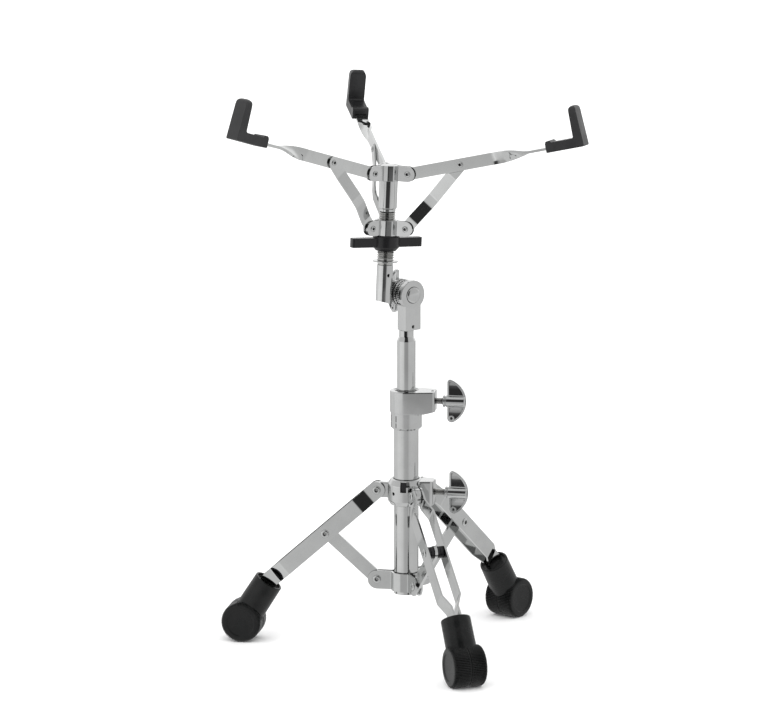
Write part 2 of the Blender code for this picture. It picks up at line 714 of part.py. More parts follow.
def make_housing():
    """The lower casting, clamped on the upper tube's neck."""
    frame = tilter_frame()
    head = rod_mesh("tilter_housing", HEAD_RADIUS, -HOUSING_BACK, HOUSING_FRONT, ROUND)
    housing = piece("tilter_housing", head, frame @ TURN_TO_Y, "chrome", "upper_post")
    leg = block_mesh(
        "housing_leg", (-HOUSING_HALF_WIDTH, -HOUSING_BACK, HOUSING_BOTTOM),
        (HOUSING_HALF_WIDTH, HOUSING_FRONT, -0.004),
    )
    combine(housing, tool("housing_leg", leg, frame), "UNION")
    hole = rod_mesh("housing_hole", BOLT_RADIUS + GAP, -0.02, 0.02, PIN_ROUND)
    combine(housing, tool("housing_hole", hole, frame @ TURN_TO_Y), "DIFFERENCE")
    start = HOUSING_FRONT + GAP
    profile = [
        (0, start + CAP_HEIGHT), (CAP_RADIUS * 0.55, start + CAP_HEIGHT * 0.9),
        (CAP_RADIUS, start + CAP_HEIGHT * 0.35), (CAP_RADIUS, start), (BOLT_RADIUS, start),
        (BOLT_RADIUS, -BOLT_END), (0, -BOLT_END),
    ]
    turned_piece("tilter_bolt", profile, frame @ TURN_TO_Y, "chrome", "upper_post", 24)


def make_gears():
    """The two toothed rings that meet face to face on the axle."""
    inner = BOLT_RADIUS + GAP
    start = -HOUSING_BACK - GAP
    lower = ring_profile(inner, GEAR_RADIUS, start - GEAR_THICKNESS, start)
    turned_piece("tilter_gear_lower", lower, tilter_frame() @ TURN_TO_Y, "zinc", "upper_post")
    start -= GEAR_THICKNESS + GAP
    upper = ring_profile(inner, GEAR_RADIUS, start - GEAR_THICKNESS, start)
    turned_piece("tilter_gear_upper", upper, head_frame() @ TURN_TO_Y, "zinc", "tilter_head")
    return start - GEAR_THICKNESS - GAP


def make_tilter_post(disc_start):
    """The upper casting: a disc on the axle, a web, and the post that holds the basket's shaft."""
    frame = head_frame()
    disc = rod_mesh("tilter_post", GEAR_RADIUS, disc_start - WEB_THICKNESS, disc_start)
    casting = piece("tilter_post", disc, frame @ TURN_TO_Y, "chrome", "tilter_head")
    axis = frame @ Matrix.Translation((POST_OFF_PIVOT, -POST_BACK, 0))
    post = rod_mesh("post_tube", BASKET_POST_RADIUS, BASKET_POST_BOTTOM, BASKET_POST_TOP)
    web = block_mesh(
        "post_web", (0, disc_start - WEB_THICKNESS, -WEB_HALF_HEIGHT),
        (POST_OFF_PIVOT, disc_start, WEB_HALF_HEIGHT + 0.004),
    )
    combine(casting, tool("post_web", web, frame), "UNION")
    combine(casting, tool("post_tube", post, axis), "UNION")
    socket = rod_mesh("post_socket", SPIGOT_RADIUS + GAP, SPIGOT_BOTTOM - GAP, BASKET_POST_TOP + OVERLAP, 24)
    combine(casting, tool("post_socket", socket, axis), "DIFFERENCE")
    hole = rod_mesh("post_hole", BOLT_RADIUS + GAP, disc_start - 0.02, disc_start + OVERLAP, PIN_ROUND)
    combine(casting, tool("post_hole", hole, frame @ TURN_TO_Y), "DIFFERENCE")
    return disc_start - WEB_THICKNESS - GAP


def make_tilter_wing(start):
    """The wing nut on the axle's back end."""
    frame = head_frame()
    outward = frame @ Matrix.Rotation(math.radians(-90), 4, "Z")
    add_body("tilter_wing", outward, "tilter_head")
    near = -start
    end = TILT_WING_END
    hole_end = BOLT_END + 0.002
    inner = BOLT_RADIUS + GAP
    profile = [
        (0, end), (WING_HUB_RADIUS - 0.0008, end), (WING_HUB_RADIUS, end - 0.0008),
        (WING_HUB_RADIUS, near), (inner, near), (inner, hole_end), (0, hole_end),
    ]
    nut = turned_piece("tilter_wing_nut", profile, outward @ TURN_TO_X, "chrome", "tilter_wing", 16)
    wing = flat_mesh("tilter_wing", [wing_outline(0)], WING_THICKNESS)
    reach = Matrix.Translation((end - WING_REACH + 0.0045, 0, 0)) @ Matrix.Diagonal((0.77, 1, 1, 1))
    placed = [(wing, reach @ FLAT_ON_EDGE)]
    wing_tool = tool("tilter_wing_plate", merged_mesh("tilter_wing_plate", placed), outward)
    combine(nut, wing_tool, "UNION")
    bore = rod_mesh("tilter_wing_bore", inner, near - OVERLAP, hole_end, 16)
    combine(nut, tool("tilter_wing_bore", bore, outward @ TURN_TO_X), "DIFFERENCE")


# ---------------------------------------------------------------- basket


def make_shaft():
    """The threaded shaft that carries the washer, the nut, the slider, the sleeve and the hub."""
    axis = basket_frame()
    neck = WASHER_TOP + GAP
    top = HUB_HEIGHT + HUB_HALF_HEIGHT - 0.004
    profile = [
        (0, top), (SPIGOT_RADIUS, top), (SPIGOT_RADIUS, THREAD_TOP), (THREAD_RADIUS, THREAD_TOP),
        (THREAD_RADIUS, neck), (THREAD_RADIUS - 0.0008, neck),
        (THREAD_RADIUS - 0.0008, BASKET_POST_TOP + GAP), (SPIGOT_RADIUS, BASKET_POST_TOP + GAP),
        (SPIGOT_RADIUS, SPIGOT_BOTTOM), (0, SPIGOT_BOTTOM),
    ]
    turned_piece("threaded_shaft", profile, axis, "chrome", "tilter_head", 24)
    washer = ring_profile(THREAD_RADIUS - 0.0005, WASHER_RADIUS, WASHER_BOTTOM, WASHER_TOP)
    turned_piece("stop_washer", washer, axis, "chrome", "tilter_head", 24)
    low = BASKET_SLEEVE_BOTTOM
    high = HUB_HEIGHT - HUB_HALF_HEIGHT - GAP
    inner = SPIGOT_RADIUS + GAP
    radius = BASKET_SLEEVE_RADIUS
    sleeve = [
        (radius, high), (radius, low + 0.003), (radius - 0.0012, low + 0.001),
        (radius - 0.0012, low), (inner, low), (inner, high),
    ]
    turned_piece("basket_sleeve", sleeve, axis, "chrome", "tilter_head", 24)


def make_hub():
    """The fixed hub with a fork for each arm."""
    axis = basket_frame()
    top = HUB_HEIGHT + HUB_HALF_HEIGHT
    bottom = HUB_HEIGHT - HUB_HALF_HEIGHT
    inner = SPIGOT_RADIUS + GAP
    profile = [
        (0, top), (HUB_RADIUS - 0.0012, top), (HUB_RADIUS, top - 0.0012), (HUB_RADIUS, bottom),
        (inner, bottom), (inner, top - 0.0035), (0, top - 0.0035),
    ]
    hub = turned_piece("basket_hub", profile, axis, "chrome", "tilter_head", 24)
    outline = ear_outline(inner + 0.001, BASKET_PIVOT_RADIUS, HUB_HALF_HEIGHT - 0.0004)
    add_forks(hub, outline, HUB_HEIGHT, "hub")
    add_small_pins("hub_pin_", HUB_HEIGHT, "tilter_head")


def make_slider():
    """The collar that the nut pushes up the thread, with a fork for each strut."""
    axis = basket_frame()
    inner = THREAD_RADIUS + GAP
    low = SLIDER_HEIGHT - SLIDER_HALF_HEIGHT
    high = SLIDER_HEIGHT + SLIDER_HALF_HEIGHT
    slider = turned_piece(
        "basket_slider", ring_profile(inner, SLIDER_RADIUS, low, high), axis, "chrome", "basket_slider", 24,
    )
    outline = ear_outline(inner + 0.0005, BASKET_PIVOT_RADIUS, SLIDER_HALF_HEIGHT - 0.0004)
    add_forks(slider, outline, SLIDER_HEIGHT, "slider")
    add_small_pins("strut_pin_", SLIDER_HEIGHT, "basket_slider")


def add_forks(made, outline, height, name):
    axis = basket_frame()
    middle = SMALL_EAR_INNER + SMALL_EAR_WALL / 2
    layers = [(middle, SMALL_EAR_WALL), (-middle, SMALL_EAR_WALL)]
    ears = ears_tool(name + "_ears", BASKET_AZIMUTHS, outline, height, layers, axis)
    combine(made, ears, "UNION")
    holes = pin_holes(
        name + "_pin_holes", BASKET_AZIMUTHS, BASKET_PIVOT_RADIUS, height, SMALL_PIN_RADIUS, 0.005, axis,
    )
    combine(made, holes, "DIFFERENCE")


def add_small_pins(prefix, height, body):
    outside = SMALL_EAR_INNER + SMALL_EAR_WALL + GAP
    profile = rivet_profile(-outside, outside, SMALL_PIN_RADIUS, SMALL_HEAD_RADIUS, SMALL_HEAD)
    for side_name, azimuth in BASKET_AZIMUTHS.items():
        place = radial_frame(azimuth, BASKET_PIVOT_RADIUS, height, basket_frame())
        turned_piece(prefix + side_name, profile, place @ TURN_TO_Y, "chrome", body, PIN_ROUND)


def make_nut():
    """The black wing nut under the slider."""
    axis = basket_frame()
    add_body("basket_nut", radial_frame(NUT_AZIMUTH, 0, NUT_BOTTOM, axis), "basket_slider")
    inner = THREAD_RADIUS + GAP
    chamfer = 0.0015
    profile = [
        (NUT_RADIUS - chamfer, NUT_TOP), (NUT_RADIUS, NUT_TOP - chamfer),
        (NUT_RADIUS, NUT_BOTTOM + 2 * chamfer), (NUT_RADIUS - 2 * chamfer, NUT_BOTTOM),
        (inner, NUT_BOTTOM), (inner, NUT_TOP),
    ]
    nut = turned_piece("basket_nut", profile, radial_frame(NUT_AZIMUTH, 0, 0, axis), "black_plastic",
                       "basket_nut", 24)
    middle = (NUT_BOTTOM + NUT_TOP) / 2 + 0.0008
    corner = 0.002
    half = NUT_WING_THICKNESS / 2
    outline = [(inner + 0.002, half), (inner + 0.002, -half)]
    outline += arc(NUT_REACH - corner, corner - half, corner, -90, 0, 2)
    outline += arc(NUT_REACH - corner, half - corner, corner, 0, 90, 2)
    wing = flat_mesh("nut_wing", [outline], NUT_WING_HEIGHT)
    placed = [(wing, radial_frame(NUT_AZIMUTH + turn, 0, middle, axis)) for turn in (0, 180)]
    combine(nut, tool("nut_wings", merged_mesh("nut_wings", placed), Matrix.Identity(4)), "UNION")


def twist_at(along):
    """How far an arm's strip is twisted, from on edge to flat."""
    share = min(max((along - TWIST_START) / (TWIST_END - TWIST_START), 0), 1)
    return share * math.pi / 2


def make_arm(side_name, azimuth):
    arm = "arm_" + side_name
    place = radial_frame(azimuth, BASKET_PIVOT_RADIUS, HUB_HEIGHT, basket_frame())
    add_body(arm, place, "tilter_head")
    frame = strip_frame(place, -ARM_SLOPE)
    hole = SMALL_PIN_RADIUS + GAP
    outlines = [strip_outline(ARM_LENGTH, ARM_WIDTH, square_end=True)]
    outlines += [circle(0, 0, hole), circle(ARM_TO_LINK, 0, hole)]
    mesh = flat_mesh(arm, outlines, ARM_THICKNESS)

    def move(point):
        turn = Matrix.Rotation(twist_at(point.x), 3, "X")
        return Vector((point.x, 0, 0)) + turn @ Vector((0, point.y, point.z))

    step = (TWIST_END - TWIST_START) / TWIST_STEPS
    stations = [TWIST_START + step * i for i in range(TWIST_STEPS + 1)]
    bend_mesh(mesh, stations, move)
    piece(arm, mesh, frame, "chrome", arm)
    make_boot("boot_" + side_name, frame, arm)
    profile = rivet_profile(
        -ARM_THICKNESS / 2 - GAP, ARM_THICKNESS / 2 + 2 * GAP + STRUT_THICKNESS, SMALL_PIN_RADIUS,
        SMALL_HEAD_RADIUS, SMALL_HEAD,
    )
    link = frame @ Matrix.Translation((ARM_TO_LINK, 0, 0)) @ Matrix.Rotation(math.pi, 4, "X")
    turned_piece("arm_pin_" + side_name, profile, link, "chrome", arm, PIN_ROUND)


def boot_outline():
    """The L-shaped rubber boot from the side: a seat for the drum's hoop and a wall outside it."""
    lip_end = BOOT_START + BOOT_LIP_LENGTH
    radius = BOOT_WALL_TOP / 2
    points = [(BOOT_START, BOOT_BOTTOM + 0.0008), (BOOT_START + 0.0008, BOOT_BOTTOM)]
    points += [(BOOT_END - 0.001, BOOT_BOTTOM), (BOOT_END, BOOT_BOTTOM + 0.001)]
    points += arc(BOOT_END - BOOT_WALL_LEAN - radius, BOOT_TOP - radius, radius, 0, 180, HALF_TURN)
    points += [(BOOT_END - BOOT_WALL_BOTTOM, BOOT_SEAT), (lip_end, BOOT_SEAT)]
    points += [(lip_end - 0.001, BOOT_SEAT + BOOT_LIP_HEIGHT * 0.7)]
    return points + [(lip_end - 0.003, BOOT_SEAT + BOOT_LIP_HEIGHT), (BOOT_START, BOOT_SEAT + 0.0008)]


def make_boot(name, frame, body):
    mesh = flat_mesh(name, [boot_outline()], BOOT_WIDTH)
    boot = piece(name, mesh, frame, "boot_rubber", body)
    half_width = ARM_WIDTH / 2 + GAP
    half_depth = ARM_THICKNESS / 2 + GAP
    socket = block_mesh(
        name + "_socket", (BOOT_START - OVERLAP, -half_depth, -half_width),
        (ARM_LENGTH + GAP, half_depth, half_width),
    )
    combine(boot, tool(name + "_socket", socket, frame), "DIFFERENCE")


def make_strut(side_name, azimuth):
    """The strut that pushes an arm up. It lies beside the arm and bends back into its fork."""
    name = "strut_" + side_name
    place = radial_frame(azimuth, BASKET_PIVOT_RADIUS, HUB_HEIGHT, basket_frame())
    link = place @ Matrix.Translation(
        (ARM_TO_LINK * math.cos(ARM_SLOPE), 0, ARM_TO_LINK * math.sin(ARM_SLOPE))
    )
    add_body(name, link, "arm_" + side_name)
    run = ARM_TO_LINK * math.cos(ARM_SLOPE)
    drop = ARM_TO_LINK * math.sin(ARM_SLOPE) + HUB_DROP
    length = math.hypot(run, drop)
    slope = math.atan2(drop, -run)
    outlines = [strip_outline(length, STRUT_WIDTH), circle(0, 0, SMALL_PIN_RADIUS + GAP)]
    outlines.append(circle(length, 0, OPEN_HOLE))
    mesh = flat_mesh(name, outlines, STRUT_THICKNESS)
    beside = ARM_THICKNESS / 2 + GAP + STRUT_THICKNESS / 2
    start, end = STRUT_STATIONS

    def move(point):
        share = min(max((point.x - start) / (end - start), 0), 1)
        return Vector((point.x, point.y, point.z - beside * (1 - share)))

    bend_mesh(mesh, STRUT_STATIONS, move)
    piece(name, mesh, strip_frame(link, slope), "chrome", name)


# ---------------------------------------------------------------- the stand


def make_tripod():
    add_body("tripod_collar", radial_frame(0, 0, TOP_PIVOT_Z))
    make_tripod_collar()
    for side_name, azimuth in LEG_AZIMUTHS.items():
        make_leg(side_name, azimuth)
    low_pivot = radial_frame(LEG_AZIMUTHS["front"], PIVOT_RADIUS, LOW_PIVOT_Z)
    add_body("column", low_pivot, "brace_front")
    make_low_collar()
    make_wing_screw(
        "tripod_wing_screw", COLLAR_SCREW_AZIMUTH, COLLAR_SCREW_Z, COLLAR_SCREW_SHIFT,
        "tripod_wing", "tripod_collar",
    )


def make_column_and_tilter():
    add_body("upper_post", radial_frame(0, 0, CLAMP_TOP), "column")
    make_column()
    make_clamp()
    make_wing_screw("height_wing_screw", CLAMP_AZIMUTH, CLAMP_SCREW_Z, 0, "height_wing", "column")
    make_housing()
    add_body("tilter_head", head_frame(), "upper_post")
    disc_start = make_gears()
    wing_start = make_tilter_post(disc_start)
    make_tilter_wing(wing_start)


def make_basket():
    add_body("basket_slider", radial_frame(0, 0, SLIDER_HEIGHT, basket_frame()), "tilter_head")
    make_shaft()
    make_hub()
    make_slider()
    make_nut()
    for side_name, azimuth in BASKET_AZIMUTHS.items():
        make_arm(side_name, azimuth)
        make_strut(side_name, azimuth)


clear_scene()
parts = new_collection(OBJECT_NAME)
tools = new_collection("cutters")
make_materials()
make_tripod()
make_column_and_tilter()
make_basket()
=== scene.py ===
import json
import math

import bmesh
import bpy
from mathutils import Matrix, Vector


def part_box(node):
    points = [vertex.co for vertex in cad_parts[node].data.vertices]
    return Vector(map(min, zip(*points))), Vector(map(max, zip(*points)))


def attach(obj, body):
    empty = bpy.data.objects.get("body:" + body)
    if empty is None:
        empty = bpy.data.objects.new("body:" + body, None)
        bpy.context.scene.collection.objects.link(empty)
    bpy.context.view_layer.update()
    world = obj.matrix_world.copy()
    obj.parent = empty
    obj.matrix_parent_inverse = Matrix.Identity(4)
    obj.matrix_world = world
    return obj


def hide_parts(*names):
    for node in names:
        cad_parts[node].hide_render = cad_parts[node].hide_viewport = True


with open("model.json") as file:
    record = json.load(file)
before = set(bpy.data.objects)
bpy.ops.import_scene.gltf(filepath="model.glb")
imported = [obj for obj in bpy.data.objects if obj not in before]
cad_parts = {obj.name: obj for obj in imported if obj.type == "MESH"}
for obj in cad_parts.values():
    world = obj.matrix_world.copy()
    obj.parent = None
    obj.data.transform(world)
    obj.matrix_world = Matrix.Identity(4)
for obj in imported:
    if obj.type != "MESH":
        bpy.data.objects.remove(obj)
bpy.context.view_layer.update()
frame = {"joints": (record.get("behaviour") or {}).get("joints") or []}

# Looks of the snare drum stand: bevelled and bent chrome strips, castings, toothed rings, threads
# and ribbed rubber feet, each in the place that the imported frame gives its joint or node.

# Light tent: brightness around it in three bands, as a share of its power. Degrees run from -X, so the
# camera's side is at 90. The fades are heights in metres, with the share of the upper band there.
TENT_RADIUS = 1.5
TENT_BOTTOM = -1.3
TENT_SHOULDER = 1.7
TENT_RISE = 0.9
TENT_POWER = 1.7
TENT_LOW = (
    (0, 0.60), (30, 0.60), (58, 0.53), (68, 0.44), (76, 0.38), (104, 0.35), (118, 0.45), (140, 0.47),
    (205, 0.45), (235, 0.38), (300, 0.40), (330, 0.54),
)
TENT_MIDDLE = (
    (0, 0.78), (34, 0.76), (46, 0.72), (61, 0.67), (66, 0.05), (108, 0.045), (118, 0.46), (190, 0.54),
    (212, 0.46), (240, 0.37), (300, 0.41), (330, 0.64),
)
TENT_HIGH = (
    (0, 0.48), (50, 0.46), (62, 0.40), (66, 0.025), (112, 0.02), (120, 0.40), (200, 0.46), (222, 0.72),
    (318, 0.72), (340, 0.50),
)
TENT_GROUND = 0.54
TENT_TOP = 0.46
TENT_MIDDLE_FADE = ((-0.06, 0.0), (0.00, 0.26), (0.13, 0.34), (0.165, 0.55), (0.195, 0.93), (0.23, 1.0))
TENT_HIGH_FADE = ((0.26, 0.0), (0.40, 1.0))
TENT_GROUND_FADE = ((-1.25, 0.0), (-0.90, 1.0))
TENT_TOP_FADE = ((1.6, 0.0), (2.2, 1.0))
SKY_POWER = 1.25
SUNS = (("key", (38, -22, 0), 0.8, 50), ("fill", (30, 48, 0), 0.4, 70))  # turn, power, spread

# Camera: metres from the tube's axis, and its lens
CAMERA_DISTANCE = 4.936
CAMERA_HEIGHT = 1.2820
CAMERA_ACROSS = -0.02025
CAMERA_TURN = 78.83
FOCAL_PIXELS = 4931.3
PICTURE_WIDTH = 773

# Materials: those that take the chrome slot, and the painted shade that darkens the plating's colour in gaps
CHROME_SLOT = ("chrome_tube", "chrome_strip", "chrome_cast", "plated_screw")
PAINTED_SHADE_REACH = 0.0026
PAINTED_GAP_SHADE = ((0.22, 0.03), (0.72, 1.0))

# Resolution and small radii, metres
SIDES = 96
PIN_SIDES = 40
END_STEPS = 18
SHARP_ANGLE = 38  # degrees between faces from which an edge stays sharp
EDGE = 0.00035  # rounded edge of a stamped strip
CAST_EDGE = 0.0009  # rounded edge of a casting
CLEAR = 0.0002

# Tripod
LEG_WIDTH = 0.0170
LEG_THICKNESS = 0.0020
LEG_INNER_TOP = 0.0035
LEG_INNER_MIDDLE = 0.0088
LEG_INNER_FOOT = 0.0024
LEG_STATIONS = (0.011, 0.025, 0.129, 0.1425)
LEG_BEND = 0.0010  # half the length over which a leg strip turns at a station
LEG_IN_SLEEVE = 0.0250
KNEE_CORNER = 0.0120
BRACE_WIDTH = 0.0140
BRACE_THICKNESS = 0.0030
PIN_RADIUS = 0.0026
LEG_RIVET = (PIN_RADIUS, 0.0043, 0.0013)  # shank, head radius, head height
RIVET_DOME = ((0.42, 0.60), (0.48, 0.92), (0.58, 1.0), (0.72, 0.96), (0.86, 0.78), (0.96, 0.48), (1.0, 0.22))
SPACER_RADIUS = 0.0060
FOOT_OUT = 0.1711
FOOT_RADIUS = 0.0210
FOOT_WIDTH = 0.0350
FOOT_RIM = 0.0036
FOOT_SEAM = 0.0006
FOOT_SEAM_DEPTH = 0.0009
FOOT_RIBS = 76
RIB_DEPTH = 0.0009
RIB_STEPS = 5
SLEEVE_SLOPE = math.radians(57.5)
SLEEVE_TOP = 0.0500
SLEEVE_RADIUS = 0.0151
SLEEVE_WALL = 0.0022
SLEEVE_RECESS = 0.0030
COLLAR_RADIUS = 0.0190
EAR_THICKNESS = 0.0064
LOW_COLLAR_RADIUS = 0.0158
LOW_EAR_WALL = 0.0020
LOW_EAR_INNER = 0.0018
LOW_EAR_HALF_HEIGHT = 0.0096
LOW_EAR_DROP = 0.0006
LOW_CORE_Z = 0.0615

# Column, clamp and wing screws
TUBE_RADIUS = 0.0127
TUBE_WALL = 0.0015
POST_RADIUS = 0.009525
POST_SHOULDER = 0.3216
NECK_RADIUS = 0.0075
NECK_BOTTOM = 0.3260
CLAMP_RADIUS = 0.0168
CLAMP_SLEEVE_RADIUS = 0.0161
CLAMP_STEP = 0.2470
CAST_LEAN = 13  # degrees that the slanted cuts of the castings lean
UNDERCUT_X = 0.0195
LUG_END = 0.0304
LUG_HALF_WIDTH = 0.0108
LUG_TANGENT = 78  # degrees round the clamp where its lug's sides start
SCREW_RADIUS = 0.0034
SCREW_TIP = 0.0133
SCREW_PITCH = 0.0011
WING_HUB_START = 0.0378
WING_HUB_END = 0.0612
WING_HUB_RADIUS = 0.0062
WING_START = 0.0422
WING_REACH = 0.0195
WING_THICKNESS = 0.0042
WING_BULGE = 0.0046  # how far the outer edge's centre is inside the inner edge
WING_TOP_TIP = 0.0030
WING_LOW_TIP = 0.0045
POCKET_RIM = 0.0019
POCKET_DEPTH = 0.0002  # at a hollow's lower end, which gets deeper going up
POCKET_SLOPE = 0.26
POCKET_CURVE = 0.28
POCKET_LINES = 10
WING_BOSS_RADIUS = 0.0031
COLLAR_SCREW_SHIFT = 0.0030
KEY_AZIMUTH = 260.0
KEY_HALF_WIDTH = 0.0031
KEY_LENGTH = 0.0118
COLLAR_SET_AZIMUTH = 225.6
COLLAR_SET_Z = 0.1640
NECK_SLOT_AZIMUTH = 264.0
NECK_SLOT_HALF_WIDTH = 0.0015
NECK_SLOT_LOW = 0.3258
NECK_SLOT_HIGH = 0.3345
SLIT_AZIMUTHS = (198.0, 229.0)
SLITS = ((0.2325, 0.2375), (0.2385, 0.2450))

# Tilter, in its own frame: Y along the axle to the front
HOUSING_HALF_WIDTH = 0.0101
HOUSING_FRONT = 0.0112
HOUSING_BACK = 0.0023
HOUSING_BOTTOM = -0.0367
HEAD_RADIUS = 0.0150
GEAR_RADIUS = 0.0143
GEAR_THICKNESS = 0.0024
GEAR_TEETH = 40
TOOTH_DEPTH = 0.0010
TOOTH_STEPS = 6
GEAR_GAP = 0.0003
HEAD_DISC = 0.0052  # thickness of the head's front disc, with toothed crowns behind it
CROWN_CORE = 0.0118
CROWN_WIDTH = 0.0024
CROWN_PLACES = (0.0042, 0.0012, -0.0016)
CAP_RADIUS = 0.0083
CAP_HEIGHT = 0.0033
BOLT_RADIUS = 0.0037
BOLT_END = 0.0240
TILT_WING_END = 0.0300
TILT_WING_SCALE = 0.77
POST_OFF_PIVOT = 0.0261
POST_BACK = 0.0040
BASKET_POST_RADIUS = 0.0083
BASKET_POST_BOTTOM = -0.0084
BASKET_POST_TOP = 0.0311
WEB_THICKNESS = 0.0048
WEB_HALF_HEIGHT = 0.0080
HOUSING_SET_Z = -0.0328
POST_SET_HEIGHT = 0.0207
POST_SET_AZIMUTH = 299.0
SET_SCREW_RADIUS = 0.0014

# Basket: heights along its axis from the tilting axle
THREAD_RADIUS = 0.0088
WASHER_RADIUS = 0.0130
WASHER_BOTTOM = 0.0339
WASHER_TOP = 0.0354
NUT_BOTTOM = 0.0454
NUT_TOP = 0.0609
NUT_RADIUS = 0.0137
NUT_REACH = 0.0388
NUT_WING_HEIGHT = 0.0096
NUT_WING_THICKNESS = 0.0085
HUB_DROP = 0.0559
HUB_RADIUS = 0.0098
HUB_HALF_HEIGHT = 0.0081
SLIDER_RADIUS = 0.0108
SLIDER_HALF_HEIGHT = 0.0079
BASKET_SLEEVE_RADIUS = 0.009525
BASKET_SLEEVE_BOTTOM = 0.0856
SHAFT_PITCH = 0.0024
SHAFT_END_RADIUS = 0.0046
NUT_AZIMUTH = 25.0
ARM_WIDTH = 0.0125
ARM_THICKNESS = 0.0026
ARM_LENGTH = 0.1780
TWIST_START = 0.0940
TWIST_END = 0.1300
TWIST_STEPS = 40
STRUT_WIDTH = 0.0122
STRUT_THICKNESS = 0.0020
STRUT_STATIONS = (0.016, 0.046, 0.056, 0.077)  # where a strut bends out, and back into its fork
STRUT_BOW = 0.0056
STRUT_BEND = 0.0009
SMALL_PIN_RADIUS = 0.0020
SMALL_RIVET = (SMALL_PIN_RADIUS, 0.0031, 0.0011)
SMALL_EAR_INNER = 0.0016
SMALL_EAR_WALL = 0.0018
BOOT_START = 0.1510
BOOT_END = 0.1911
BOOT_WIDTH = 0.0170
BOOT_BOTTOM = -0.0040
BOOT_SEAT = 0.0058
BOOT_TOP = 0.0380
BOOT_WALL_TOP = 0.0078
BOOT_WALL_LEAN = 0.0018
BOOT_WALL_BOTTOM = 0.0100
BOOT_LIP_LENGTH = 0.0070
BOOT_LIP_HEIGHT = 0.0022
BOOT_TOP_CORNER = 0.0068
BOOT_EDGE = 0.0010

HERE = Matrix.Identity(4)
FLAT_ON_EDGE = Matrix.Rotation(math.radians(90), 4, "X")
TURN_TO_Y = Matrix.Rotation(math.radians(-90), 4, "X")
TURN_TO_X = Matrix.Rotation(math.radians(90), 4, "Y")
UP = Vector((0, 0, 1))

JOINTS = {joint["name"]: joint for joint in frame["joints"]}
MATERIALS = {}


# ---------------- places from the frame


def joint_point(name):
    return Vector(JOINTS[name]["pos_m"])


def box_middle(node):
    low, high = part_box(node)
    return (Vector(low) + Vector(high)) / 2


def basis(origin, x_hint, z):
    """A right-handed frame at a point, with the given Z and with X as near as it can be to the hint."""
    z = z.normalized()
    x = (x_hint - z * x_hint.dot(z)).normalized()
    turn = Matrix((x, z.cross(x), z)).transposed().to_4x4()
    return Matrix.Translation(origin) @ turn


def polar(base, point):
    """A point's azimuth in degrees, radius and height in a frame."""
    local = base.inverted() @ point
    return math.degrees(math.atan2(local.y, local.x)), math.hypot(local.x, local.y), local.z


def radial(base, azimuth, radius=0.0, height=0.0):
    """A frame with X away from the base's axis, Y around it and Z along it."""
    return base @ Matrix.Rotation(math.radians(azimuth), 4, "Z") @ Matrix.Translation((radius, 0, height))


def shift(x, y, z):
    return Matrix.Translation((x, y, z))


def strip_place(place, slope):
    """A strip's frame: its X slopes down from the place's X, and its Z is across the strip."""
    return place @ Matrix.Rotation(slope, 4, "Y") @ FLAT_ON_EDGE


tube_middle = box_middle("lower_tube")
COLUMN = shift(tube_middle.x, tube_middle.y, 0)
LEG_JOINTS = {"front": "tripod_fold", "right": "leg_right_fold", "left": "leg_left_fold"}
LEG_AZIMUTHS = {side: polar(COLUMN, joint_point(name))[0] for side, name in LEG_JOINTS.items()}
_, PIVOT_RADIUS, TOP_PIVOT_Z = polar(COLUMN, joint_point("tripod_fold"))
_, LINK_RADIUS, LINK_Z = polar(COLUMN, joint_point("brace_front_turn"))
LOW_PIVOT_Z = joint_point("column_upright").z
LEG_SLOPE = math.atan2(TOP_PIVOT_Z - LINK_Z, LINK_RADIUS - PIVOT_RADIUS)
LEG_TO_LINK = math.hypot(TOP_PIVOT_Z - LINK_Z, LINK_RADIUS - PIVOT_RADIUS)

CLAMP_AZIMUTH, _, CLAMP_SCREW_Z = polar(COLUMN, box_middle("height_wing_screw"))
COLLAR_SCREW_AZIMUTH, _, COLLAR_SCREW_Z = polar(COLUMN, box_middle("tripod_wing_screw"))

AXLE = -Vector(JOINTS["basket_tilt"]["axis"])
TILTER = basis(joint_point("basket_tilt"), AXLE.cross(UP), UP)
BASKET_UP = Vector(JOINTS["basket_nut_turn"]["axis"])
HEAD = basis(joint_point("basket_tilt"), AXLE.cross(BASKET_UP), BASKET_UP)
BASKET = basis(joint_point("basket_nut_turn") - BASKET_UP * NUT_BOTTOM, Vector((1, 0, 0)), BASKET_UP)
ARM_AZIMUTHS = {
    side: polar(BASKET, joint_point("arm_" + side + "_raise"))[0] for side in ("back", "left", "right")
}
_, BASKET_PIVOT_RADIUS, HUB_HEIGHT = polar(BASKET, joint_point("arm_back_raise"))
SLIDER_HEIGHT = HUB_HEIGHT - HUB_DROP
_, link_radius, link_height = polar(BASKET, joint_point("strut_back_turn"))
ARM_SLOPE = math.atan2(link_height - HUB_HEIGHT, link_radius - BASKET_PIVOT_RADIUS)
ARM_TO_LINK = math.hypot(link_height - HUB_HEIGHT, link_radius - BASKET_PIVOT_RADIUS)


# ---------------- outlines


def arc(centre_x, centre_y, radius, start, end, steps):
    """Points from start to end, in degrees, both ends included."""
    points = []
    for i in range(steps + 1):
        angle = math.radians(start + (end - start) * i / steps)
        points.append((centre_x + radius * math.cos(angle), centre_y + radius * math.sin(angle)))
    return points


def holes(radius, *places):
    """Round holes along X."""
    return [arc(place, 0, radius, 0, 360, PIN_SIDES)[:-1] for place in places]


def mirrored(points):
    return [(x, -y) for x, y in reversed(points)]


